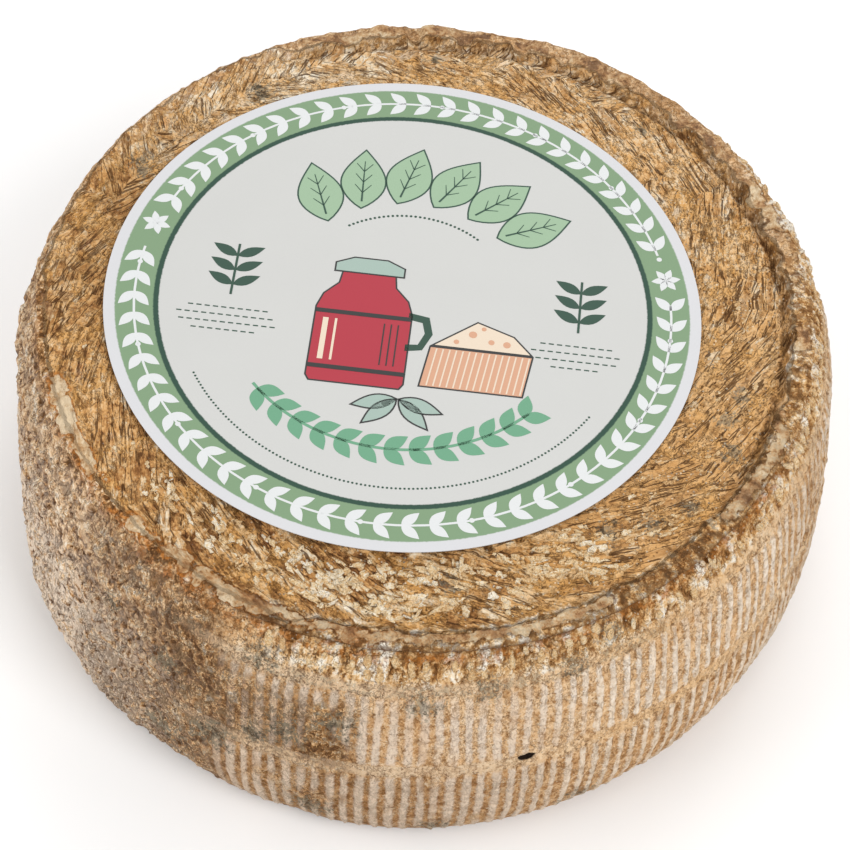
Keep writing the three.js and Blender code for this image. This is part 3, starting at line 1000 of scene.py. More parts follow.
@dataclass(frozen=True)
class Crust:
    """Loose flakes and crumbs of the rind: dry broken crust, cream where it is fresh, brown where old."""

    tones: Ramp = (
        (0.0, "#6E4E30"), (0.2, "#AD8150"), (0.42, "#D8B07C"), (0.62, "#E5C99D"),
        (0.8, "#EDDBBC"), (1.0, "#F4ECDD"),
    )
    grey: str = "#8F8B7C"
    thread: str = "#5F452C"
    fine: Grain = Grain(0.66667, 4.0, 0.7)
    tuft: Grain = Grain(2.0, 3.0)
    relief: float = 0.6
    roughness: float = 0.85
    glint: float = 0.25

    def dress(self, name: str) -> bpy.types.Material:
        """Builds the material, which takes its tone from the mesh's attribute.

        Args:
            name: the material's name.

        Returns:
            The finished material.
        """
        board = NodeBoard(name)
        add = board.add
        place = board.millimetres()
        fine = add("TexNoise", self.fine.over(place))
        tuft = add("TexNoise", self.tuft.over(place))
        tone = add("Attribute", attribute_name="tone").outputs["Fac"]
        uneven = add("Math", {0: fine, 1: 1.5, 2: -0.75}, operation="MULTIPLY_ADD")
        mixed = add("Math", {0: tone, 1: uneven}, operation="ADD")
        colour = add("ValToRGB", {0: mixed}, stops=self.tones).outputs["Color"]
        dusty = add("MapRange", {0: tuft, 1: 0.58, 2: 0.72, 4: 0.45}, interpolation_type="SMOOTHSTEP")
        colour = add("Mix", {0: dusty, 6: colour, 7: self.grey}, data_type="RGBA").outputs[2]
        ridge = add("Math", {0: add("Math", {0: tuft, 1: 0.5}, operation="SUBTRACT")}, operation="ABSOLUTE")
        crack = add("MapRange", {0: ridge, 1: 0.006, 2: 0.022, 3: 0.6, 4: 0.0})
        colour = add("Mix", {0: crack, 6: colour, 7: self.thread}, data_type="RGBA").outputs[2]
        bump = add("Bump", {"Height": fine, "Distance": self.relief * MM, "Strength": 1.0})
        look = {"Base Color": colour, "Roughness": self.roughness, "Normal": bump}
        return board.finish(add("BsdfPrincipled", {**look, "Specular IOR Level": self.glint}))


@dataclass(frozen=True)
class Fibre:
    """Paper fibre, which shows faintly in bare paper and in the ink on it.

    Real fibre is a few hundredths of a millimetre thick. It is drawn at a third of one so that it shows.
    """

    grain: Grain = Grain(0.33333, 3.0, 0.7)
    relief: float = 0.05

    def dress(
        self, board: NodeBoard, colour: Any, depth: float, rest: Any, roughness: float
    ) -> bpy.types.Material:
        """Shades a colour by the fibre and finishes its material.

        Args:
            board: the material's board.
            colour: the colour of the paper or the ink.
            depth: how strongly the fibre shades it.
            rest: the shade between the fibres, a number or a node.
            roughness: the surface's roughness.

        Returns:
            The finished material.
        """
        add = board.add
        fibre = add("TexNoise", self.grain.over(board.millimetres()))
        shade = add("Math", {0: fibre, 1: depth, 2: rest}, operation="MULTIPLY_ADD")
        grey = add("CombineColor", {0: shade, 1: shade, 2: shade})
        shaded = add("Mix", {0: 1.0, 6: colour, 7: grey}, data_type="RGBA", blend_type="MULTIPLY").outputs[2]
        bump = add("Bump", {"Height": fibre, "Distance": self.relief * MM, "Strength": 0.5})
        look = {"Base Color": shaded, "Roughness": roughness, "Normal": bump}
        return board.finish(add("BsdfPrincipled", look))


@dataclass(frozen=True)
class LabelPaper:
    """Uncoated white label paper, offset printed with a green ring and a dark green line.

    The paper is matt with a faint fibre, and the ink follows it, so both look soft in the light.
    """

    border: str = "#CBCBCD"
    middle: str = "#C3C3C0"
    ring: str = "#789371"
    line: str = "#1C4232"
    ring_edge: float = 0.962
    line_edge: float = 0.836
    middle_edge: float = 0.818
    edge_play: float = 0.002
    cloud: Grain = Grain(20.0, 3.0, 0.5)
    bleed: Grain = Grain(0.76923, 2.0, 0.5)
    roughness: float = 0.62

    def dress(self, name: str, centre: Pair, radius: float) -> bpy.types.Material:
        """Builds the material with its rings round the label's centre.

        Args:
            name: the material's name.
            centre: the label's centre in millimetres.
            radius: the label's radius in millimetres.

        Returns:
            The finished material.
        """
        board = NodeBoard(name)
        add = board.add
        place = board.millimetres()
        flat = add("VectorMath", {0: place, 1: (1.0, 1.0, 0.0)}, operation="MULTIPLY")
        away = add("VectorMath", {0: flat, 1: (*centre, 0.0)}, operation="DISTANCE").outputs["Value"]
        share = add("Math", {0: away, 1: 1 / radius}, operation="MULTIPLY")
        bleed = add("TexNoise", self.bleed.over(place))
        frayed = add("Math", {0: bleed, 1: 0.005, 2: -0.0025}, operation="MULTIPLY_ADD")
        share = add("Math", {0: share, 1: frayed}, operation="ADD")
        colour: Any = self.border
        rings = ((self.ring_edge, self.ring), (self.line_edge, self.line), (self.middle_edge, self.middle))
        for edge, ink in rings:
            start, end = edge - self.edge_play, edge + self.edge_play
            inside = add("MapRange", {0: share, 1: start, 2: end, 3: 1.0, 4: 0.0})
            colour = add("Mix", {0: inside, 6: colour, 7: ink}, data_type="RGBA").outputs[2]
        cloud = add("TexNoise", self.cloud.over(place))
        rest = add("Math", {0: cloud, 1: 0.04, 2: 0.945}, operation="MULTIPLY_ADD")
        return Fibre().dress(board, colour, 0.07, rest, self.roughness)


class Ink(Enum):
    """The label's printing inks, by name and sRGB value."""

    WHITE = "#D4D6D6"
    PALE_GREEN = "#95B092"
    GREEN = "#659B7B"
    DARK_GREEN = "#274839"
    RED = "#A82939"
    SALMON = "#CC9B7D"
    CREAM = "#DCCBB6"
    SLATE_GREEN = "#9BAFA5"
    BLACK = "#2A2B2A"

    def dress(self) -> bpy.types.Material:
        """Builds the ink: a thin matt film that shows the paper's fibre."""
        board = NodeBoard("ink_" + self.name.lower())
        return Fibre().dress(board, self.value, 0.12, 0.94, 0.6)


def make_object(name: str, mesh: bpy.types.Mesh, materials: Iterable[bpy.types.Material]) -> bpy.types.Object:
    """Puts a mesh in the scene at the origin.

    Args:
        name: the piece's name.
        mesh: its mesh, in metres.
        materials: its material slots.

    Returns:
        The new object.
    """
    for material in materials:
        mesh.materials.append(material)
    piece = bpy.data.objects.new(name, mesh)
    bpy.context.scene.collection.objects.link(piece)
    return piece


def spin_section(bm: bmesh.types.BMesh, steps: int) -> None:
    """Spins a section round the upright axis and closes the skin.

    Args:
        bm: the section, drawn from its lower to its upper end at +X.
        steps: how many columns of faces the skin gets.
    """
    geometry = [*bm.verts, *bm.edges]
    bmesh.ops.spin(
        bm, geom=geometry, axis=(0, 0, 1), cent=(0, 0, 0), angle=math.tau, steps=steps, use_merge=True
    )
    bmesh.ops.remove_doubles(bm, verts=bm.verts, dist=1e-4)
    bmesh.ops.holes_fill(bm, edges=[edge for edge in bm.edges if edge.is_boundary], sides=0)
    bmesh.ops.recalc_face_normals(bm, faces=bm.faces)


def to_mesh(name: str, bm: bmesh.types.BMesh) -> bpy.types.Mesh:
    """Turns a finished bmesh into a named mesh and lets it go."""
    mesh = bpy.data.meshes.new(name)
    bm.to_mesh(mesh)
    bm.free()
    return mesh


@dataclass
class Wheel:
    """The cheese itself: a spun outline, settled and carved into a handmade wheel."""

    form: Form
    strokes: Strokes
    ripening: Ripening
    columns_per_rib: int = 5
    wall_step: float = 1.46
    top_step: float = 1.15
    inner_station: float = 132.6
    mark_plate: Pair = (8.5, 2.7)
    rib_plate: float = 5.5
    worn_plate: Triple = (4.4, 4.4, 5.4)
    beads: int = 50
    split_by_ribs: Zone = Zone(-55, 88, 10)
    crumbly: Zone = Zone(-40, 64, 14)
    narrow_ribbon: Zone = Zone(-95, 40, 20)
    torn_ribbon: Zone = Zone(-28, 34, 14)
    whole_ribbon: Zone = Zone(-98, 18, 8)
    beaded: Zone = Zone(-132, 30, 4)
    wide_cleft: Zone = Zone(30, 45, 25)
    stained_front: Zone = Zone(-85, 52, 20)
    stained_left: Zone = Zone(-150, 22, 12)
    old_left: Zone = Zone(-150, 45, 20)
    sharp_ribs: Zone = Zone(-15, 35, 25)

    def stations(self) -> list[float]:
        """The outline's stations, close together where its form is sharp."""
        foot = [0.0, 0.4, 1.2, 2.4, 4.0]
        wall = list(np.linspace(5.5, WALL_END, round(89.7 / self.wall_step)))
        edge = [96.2, 97.0, 97.7, CREVICE_AT, 98.9, 99.6, 100.3, 101.3, 102.5, 103.7, 104.8, 105.6, RIM_END]
        groove = [106.8, GROOVE_AT, 108.4, 109.3]
        top = list(np.arange(110.3, self.inner_station, self.top_step))
        return [float(s) for s in (*foot, *wall, *edge, *groove, *top, self.inner_station)]

    def _spin(self) -> bpy.types.Mesh:
        """Spins the outline into a closed mesh that keeps each point's station."""
        bm = bmesh.new()
        layer = bm.verts.layers.float.new("station")
        stations = np.array(self.stations())
        radii, heights = self.form.settle(stations, np.zeros_like(stations))
        previous = None
        for station, radius, height in zip(stations, radii, heights):
            vert = bm.verts.new((radius, 0.0, height))
            vert[layer] = station
            if previous:
                bm.edges.new((previous, vert))
            previous = vert
        spin_section(bm, self.form.rib_count * self.columns_per_rib)
        return to_mesh("wheel_rind", bm)

    def _rim_jag(self, station: Points, angle: Points) -> Points:
        """How far the rim's two edges wander in and out, in millimetres of radius."""
        turn = np.radians(angle)
        around = np.stack([np.cos(turn), np.sin(turn), station * 0], axis=-1) * self.form.rim_radius
        inner = grain(around, 6.0, 3, 3.1) * (1.0 + 1.4 * self.form.groove_deep.at(angle))
        inner = inner + 1.6 * self.form.notch(angle)
        outer = 0.8 * grain(around, 5.0, 3, 8.7)
        return peak(station, 106.0, 1.9) * inner + peak(station, 99.7, 1.7) * outer

    def _broken(self, base: Points, station: Points, angle: Points, drift: Points) -> tuple[Points, Points]:
        """How the rind is broken into plates: along the marks on top, by ribs on the shoulder.

        Args:
            base: the smooth form's points in millimetres.
            station: their stations.
            angle: their angles in degrees.
            drift: slow noise that makes the folds of the cloth uneven.

        Returns:
            Each point's plate value from nought to one, and one where it lies in a rift between plates.
        """
        pairs = zip(station, angle, drift)
        turn = np.radians([self.strokes.direction(*values) for values in pairs])
        along = base[:, 0] * np.cos(turn) + base[:, 1] * np.sin(turn)
        across = -base[:, 0] * np.sin(turn) + base[:, 1] * np.cos(turn)
        length, width = self.mark_plate
        marks = np.stack([along / length, across / width, station * 0], axis=-1)
        rib = np.radians(angle) * self.form.rib_count / math.tau
        ribs = np.stack([rib, base[:, 2] / self.rib_plate, station * 0], axis=-1)
        worn = base / self.worn_plate
        by_ribs = Stretch.SHOULDER.cover(station, 0.6) * self.split_by_ribs.at(angle) > 0.5
        places = np.where((station > TOP_START)[:, None], marks, np.where(by_ribs[:, None], ribs, worn))
        wobble = grain(base, 3.2, 2, 6.4)[:, None] * (0.3, 0.45, 0.3)
        own, away = plates(places + wobble, (1.0, 1.0, 1.0), 4.7)
        return own, 1 - smooth(0.02, 0.2, away)

    def _fields(self, base: Points, station: Points, angle: Points) -> Fields:
        """Everything that changes from point to point of the rind, by name."""
        form, aged = self.form, self.ripening
        small = grain(base, 2.5, 3, 1.7)
        drift = grain(base, (9, 9, 13), 3, 2.9)
        sway = 1.1 * grain(base, (6, 6, 30), 2, 5.3)
        patch = grain(base, (15, 15, 22), 3, 12.9)
        plate, rift = self._broken(base, station, angle, drift)
        ragged = station + 1.6 * small
        ribs = Stretch.LOWER_RIBS.cover(ragged, 1.5) + Stretch.UPPER_RIBS.cover(ragged, 1.5)
        strength = form.rib_strength(angle) * (0.55 + 0.45 * smooth(-0.5, 0.1, patch))
        shoulder = Stretch.SHOULDER.cover(ragged, 1.0)
        teeth = smooth(99.2, 97.0, station)
        front = self.crumbly.at(angle)
        ribbon = form.ribbon(angle)
        band_edge = station + 1.3 * small + 1.2 * drift
        narrow = 0.5 * self.narrow_ribbon.at(angle)
        kept = patch + 0.6 * drift + 1.15 * ribbon - 1.0
        kept = kept - 0.32 * self.torn_ribbon.at(angle) + 0.6 * self.whole_ribbon.at(angle)
        wax = band(band_edge, 101.4 + narrow, 105.0 - narrow, 0.5) * smooth(-0.3, 0.05, kept)
        turns = angle / 360 * self.beads + 1.1 * patch
        middle = np.round(turns)
        length = 0.4 + 0.1 * np.sin(middle * 2.4)
        away = np.hypot((turns - middle) / length, (station + 1.2 * drift - 102.6) / 2.7)
        bead = smooth(1.25, 0.8, away + 0.4 * small) * (np.sin(middle * 5.1) > -0.8)
        wax = np.maximum(wax, bead * self.beaded.at(angle))
        # The groove inside the rim: sunk in the mesh, and painted dark as its shade
        cleft_and_shade = (0.25 + 0.6 * self.wide_cleft.at(angle)) * (0.3 + 0.7 * ribbon)
        # The pinhole: sunk in the mesh, and painted near black as its shade
        hole = np.linalg.norm((base - np.array(form.spot(*form.pinhole))) / (2.4, 2.4, 1.6), axis=1)
        return {
            "small": small,
            "drift": drift,
            "sway": sway,
            "ribbed": ribs * strength,
            "rib_wear": np.clip(1 - strength * 1.05, 0, 1),
            "plate": plate,
            "rift": rift,
            "crumbly": shoulder * (0.12 + 0.88 * front),
            "teeth": shoulder * front * teeth,
            "stained": self.stained_front.at(angle) + 0.5 * self.stained_left.at(angle),
            "opened": form.open_crevice(angle),
            "cleft_and_shade": band(band_edge, 106.1, 108.3, 0.7) * cleft_and_shade,
            "wax": wax,
            "pinhole_and_shade": np.clip(1.5 - hole, 0, 1),
            "soil": aged.soil(station, angle),
            "ash": aged.ash(station, angle),
            "flaked": aged.flaked(angle),
            "rounded": smooth(0.75, 0.35, ribbon),
            "old": np.maximum(smooth(106, 108, station), 0.8 * self.old_left.at(angle)),
            "mould": aged.mould(base, form),
        }

    def _relief(self, station: Points, angle: Points, fields: Fields) -> Points:
        """How far each point stands out of the smooth form, in millimetres along its normal."""
        form = self.form
        small, drift, plate, rift = (fields[name] for name in ("small", "drift", "plate", "rift"))
        wall = smooth(2, 8, station) * smooth(98, 96, station)
        top = smooth(107.5, 110, station)
        crumbly = fields["teeth"]
        phase = np.radians(angle) * form.rib_count + fields["sway"]
        crest = smooth(-0.1, 0.85, np.cos(phase)) - 0.42
        on_ribs = fields["ribbed"] + 0.75 * crumbly
        sharp = 0.6 + 0.25 * self.sharp_ribs.at(angle)
        ribs = sharp * form.rib_relief * crest * on_ribs * (1 + 0.3 * drift)
        seams = Stretch.LOWER_SEAM.cover(station, 0.8) + 0.7 * Stretch.UPPER_SEAM.cover(station, 0.8)
        worn = wall * fields["rib_wear"] * (0.35 * small + 0.6 * drift + 0.8 * (plate - 0.5) - 0.5 * rift)
        crumbs = crumbly * (0.5 * small + 0.8 * (plate - 0.35) - 0.35 * rift)
        grained = (wall + top) * (0.2 * small + 0.3 * drift)
        flakes = top * (0.16 + 0.45 * fields["flaked"]) * (plate - 0.5 - 0.7 * rift)
        rim = smooth(99, 100, station) * smooth(107, 106, station) * (0.6 * drift + 0.5 * small)
        laid = 0.15 * fields["wax"] - 0.5 * fields["cleft_and_shade"] - 1.6 * fields["pinhole_and_shade"]
        return ribs - 0.3 * seams + worn + crumbs + grained + flakes + rim + laid

    def build(self, material: bpy.types.Material) -> bpy.types.Object:
        """Makes the wheel.

        Args:
            material: the dressed rind.

        Returns:
            The finished piece.
        """
        mesh = self._spin()
        count = len(mesh.vertices)
        spun = np.empty(count * 3)
        mesh.vertices.foreach_get("co", spun)
        spun = spun.reshape(-1, 3)
        station = np.empty(count)
        mesh.attributes["station"].data.foreach_get("value", station)
        angle = np.degrees(np.arctan2(spun[:, 1], spun[:, 0]))
        radius, height = self.form.settle(station, angle)
        radius = radius - self._rim_jag(station, angle)
        on_rim = band(station, 99.6, 105.9, 0.6)
        height = height - self.form.notch_depth * self.form.notch(angle) * on_rim
        base = self.form.place(radius, height, angle)
        mesh.vertices.foreach_set("co", base.ravel())
        mesh.update()
        normals = np.empty(count * 3)
        mesh.vertex_normals.foreach_get("vector", normals)
        fields = self._fields(base, station, angle)
        relief = self._relief(station, angle, fields)
        carved = base + normals.reshape(-1, 3) * relief[:, None]
        carved[:, 2] = np.maximum(carved[:, 2], 0.0)
        mesh.vertices.foreach_set("co", (carved * MM).ravel())
        for name, values in fields.items():
            mesh.attributes.new(name, "FLOAT", "POINT").data.foreach_set("value", values)
        mesh.shade_smooth()
        mesh.update()
        return make_object("wheel_rind", mesh, [material])


@dataclass(frozen=True)
class LabelPlace:
    """Where the label lies: a tilted plane over the wheel, its edge lifted a little at the front left."""

    radius: float = 86.5
    thickness: float = 0.25
    centre: Pair = (-3.4, -0.1)
    tilt: Pair = Form.label_tilt
    height: float = Form.height
    curl: float = 0.8
    lifted: Zone = Zone(-150, 60, 50)
    turn: float = -6.0

    def lift(self, x: float, y: float) -> float:
        """Height of the paper's upper side over the base.

        Args:
            x: millimetres right of the label's centre.
            y: millimetres behind it.

        Returns:
            The height in millimetres.
        """
        edge = smooth(0.8, 1.0, math.hypot(x, y) / self.radius)
        raised = self.curl * float(edge * self.lifted.at(math.degrees(math.atan2(y, x))))
        plane = self.tilt[0] * (x + self.centre[0]) + self.tilt[1] * (y + self.centre[1])
        return self.height + plane + raised

    def lay(self, bm: bmesh.types.BMesh) -> None:
        """Moves flat work onto the label: its x and y stay, and its z counts from the paper's top."""
        for vert in bm.verts:
            x, y, z = vert.co
            vert.co = Vector((x + self.centre[0], y + self.centre[1], self.lift(x, y) + z)) * MM


@dataclass
class Scatter:
    """Small bits of crust on the wheel, made as one joined mesh."""

    variety: ClassVar[int] = 12

    name: str
    form: Form
    seed: int

    def shape(self, draw: random.Random) -> bmesh.types.BMesh:
        """One bit about the origin, about a millimetre in half length, before it is sized."""
        bm = bmesh.new()
        bmesh.ops.create_icosphere(bm, subdivisions=2, radius=1.0)
        shift = Vector((draw.uniform(0, 99), draw.uniform(0, 99), 0.0))
        for vert in bm.verts:
            vert.co *= 1 + 0.45 * noise.noise(vert.co * 1.6 + shift)
        return bm

    def spots(self) -> Iterable[Bit]:
        """Draws each bit's station, angle, direction in degrees, half sizes and tone."""
        raise NotImplementedError

    def scatter(self, ground: BVHTree, material: bpy.types.Material) -> bpy.types.Object:
        """Lays the bits on the ground and joins them.

        Args:
            ground: the finished wheel's surface, in millimetres.
            material: the dressed crust.

        Returns:
            The joined piece.
        """
        draw = random.Random(self.seed + 1)
        shapes = []
        for _ in range(self.variety):
            bm = self.shape(draw)
            bmesh.ops.recalc_face_normals(bm, faces=bm.faces)
            bmesh.ops.triangulate(bm, faces=bm.faces)
            bm.verts.index_update()
            points = np.array([v.co[:] for v in bm.verts])
            shapes.append((points, np.array([[v.index for v in f.verts] for f in bm.faces])))
            bm.free()
        points, faces, tones = [], [], []
        count = 0
        for station, angle, direction, size, tone in self.spots():
            shape, corners_of = draw.choice(shapes)
            point, normal, _, _ = ground.find_nearest(self.form.spot(station, angle))
            turn = math.radians(direction)
            along = Vector((math.cos(turn), math.sin(turn), 0.0))
            if abs(normal.z) < 0.8:
                tangent = Vector((-normal.y, normal.x, 0.0)).normalized()
                along = tangent * math.cos(turn) + normal.cross(tangent) * -math.sin(turn)
            along = (along - normal * along.dot(normal)).normalized()
            axes = np.array([along, normal.cross(along), normal])
            sunk = np.array(point) - np.array(normal) * size[2] * 0.4
            points.append((shape * size) @ axes + sunk)
            faces.append(corners_of + count)
            tones.append(np.full(len(shape), tone))
            count += len(shape)
        mesh = bpy.data.meshes.new(self.name)
        mesh.from_pydata(np.concatenate(points) * MM, [], np.concatenate(faces).tolist())
        mesh.attributes.new("tone", "FLOAT", "POINT").data.foreach_set("value", np.concatenate(tones))
        mesh.shade_smooth()
        mesh.validate()
        return make_object(self.name, mesh, [material])


@dataclass
class TopFlakes(Scatter):
    """Thin torn flakes on the top face, lying in clusters along the cloth marks, most at the front."""

    strokes: Strokes
    label: LabelPlace
    clusters: int = 170
    thick: Zone = Zone(-98, 30, 30)

    def shape(self, draw: random.Random) -> bmesh.types.BMesh:
        """A torn slab: an uneven outline, thin at its edge and uneven on top."""
        bm = bmesh.new()
        sides = 11
        rim = []
        for index in range(sides):
            turn = math.tau * (index + draw.uniform(-0.35, 0.35)) / sides
            reach = draw.uniform(0.55, 1.1)
            rim.append(bm.verts.new((math.cos(turn) * reach, math.sin(turn) * reach, -1.0)))
        floor = bm.faces.new(rim)
        raised = bmesh.ops.extrude_face_region(bm, geom=[floor], use_keep_orig=True)
        fresh = [item for item in raised["geom"] if isinstance(item, bmesh.types.BMFace)]
        for vert in fresh[0].verts:
            vert.co.z = draw.uniform(0.1, 1.0)
            vert.co.xy *= 0.86
        bmesh.ops.poke(bm, faces=fresh)
        return bm

    def spots(self) -> Iterable[Bit]:
        """Draws clusters of flakes, each with a direction and tone of its own."""
        draw = random.Random(self.seed)
        for _ in range(self.clusters):
            angle = draw.triangular(-172, 10, -98) if draw.random() < 0.85 else draw.uniform(-180, 180)
            station = draw.uniform(109.5, 128.0)
            direction = self.strokes.direction(station, angle, 0.0) + draw.uniform(-8, 8)
            front = float(self.thick.at(angle))
            tone = draw.uniform(0.3, 0.58) + 0.2 * front
            for _ in range(draw.randint(1, 3 + round(4 * front))):
                length = draw.uniform(0.8, 2.0) + 3.2 * front * draw.random() ** 2
                width = min(draw.uniform(0.5, 1.0) + 0.8 * front * draw.random() ** 2, length)
                size = (length, width, draw.uniform(0.12, 0.28))
                place = station + draw.gauss(0, 1.8), angle + draw.gauss(0, 1.6)
                from_label = self.form.spot(*place).xy - Vector(self.label.centre)
                clear = from_label.length > self.label.radius + length
                if 108.8 < place[0] < 130 and clear:
                    yield *place, direction + draw.uniform(-14, 14), size, tone + draw.uniform(-0.15, 0.15)


@dataclass
class ShoulderCrumbs(Scatter):
    """Crumbly lumps where the ribs run out under the rim, about one for each rib."""

    first: float = -112.0
    last: float = 40.0

    def spots(self) -> Iterable[Bit]:
        """Draws each rib's lumps, taller than wide, and a few small crumbs beside them."""
        draw = random.Random(self.seed)
        pitch = 360 / self.form.rib_count
        for rib in range(self.form.rib_count):
            angle = (rib * pitch + 180) % 360 - 180
            if not self.first < angle < self.last or draw.random() < 0.2:
                continue
            for _ in range(draw.choice((1, 1, 2))):
                size = (draw.uniform(0.8, 1.4), draw.uniform(1.3, 2.8), draw.uniform(0.4, 0.75))
                place = draw.uniform(91.2, 96.6), angle + draw.uniform(-0.3, 0.3)
                yield *place, draw.uniform(-10, 10), size, draw.uniform(0.42, 0.66)
            for _ in range(2):
                size = (draw.uniform(0.3, 0.6), draw.uniform(0.3, 0.7), draw.uniform(0.25, 0.45))
                place = draw.uniform(89.5, 98.6), angle + draw.uniform(-1, 1)
                yield *place, draw.uniform(-40, 40), size, draw.uniform(0.2, 0.7)


@dataclass
class Label:
    """The round paper label."""

    place: LabelPlace
    paper: LabelPaper
    columns: int = 180
    rings: tuple[float, ...] = (0.0, 12.0, 26.0, 40.0, 52.0, 62.0, 70.0, 75.0, 79.0, 82.5, 85.0)

    def build(self) -> bpy.types.Object:
        """Spins the paper's section into a thin closed disc and lays it on the wheel."""
        bm = bmesh.new()
        radii = [*self.rings, self.place.radius]
        section = [(r, -self.place.thickness) for r in radii] + [(r, 0.0) for r in reversed(radii)]
        verts = [bm.verts.new((r, 0.0, z)) for r, z in section]
        for first, second in zip(verts, verts[1:]):
            bm.edges.new((first, second))
        spin_section(bm, self.columns)
        self.place.lay(bm)
        mesh = to_mesh("label_paper", bm)
        mesh.shade_smooth()
        mesh.set_sharp_from_angle(angle=math.radians(40))
        dressed = self.paper.dress("uncoated_paper", self.place.centre, self.place.radius)
        return make_object("label_paper", mesh, [dressed])


def leaf(length: float, width: float, steps: int = 9) -> list[Pair]:
    """A pointed leaf from the origin along +u."""
    shares = [i / steps for i in range(steps + 1)]
    upper = [(length * s, width / 2 * math.sin(math.pi * s**0.85)) for s in shares]
    return upper + [(u, -v) for u, v in reversed(upper[1:-1])]


def disc(radius: float, steps: int = 20) -> list[Pair]:
    """A round spot about the origin."""
    return [polar(radius, 360 * i / steps) for i in range(steps)]


def bar(length: float, width: float) -> list[Pair]:
    """A straight bar about the origin, along u."""
    return wedge(-length / 2, length / 2, width / 2, width / 2)


def wedge(first: float, last: float, start: float, end: float) -> list[Pair]:
    """A straight stroke along u from first to last, whose half width goes from start to end."""
    return [(first, -start), (last, -end), (last, end), (first, start)]


def polar(radius: float, angle: float) -> Pair:
    """A point by its distance from the origin and its angle in degrees."""
    return radius * math.cos(math.radians(angle)), radius * math.sin(math.radians(angle))


def arc_bar(radius: float, first: float, last: float, width: float) -> list[Pair]:
    """A curved bar round the origin, between two angles in degrees."""
    steps = max(2, round(abs(last - first) / 3))
    angles = [first + (last - first) * i / steps for i in range(steps + 1)]
    outer = [polar(radius + width / 2, angle) for angle in angles]
    return outer + [polar(radius - width / 2, angle) for angle in reversed(angles)]


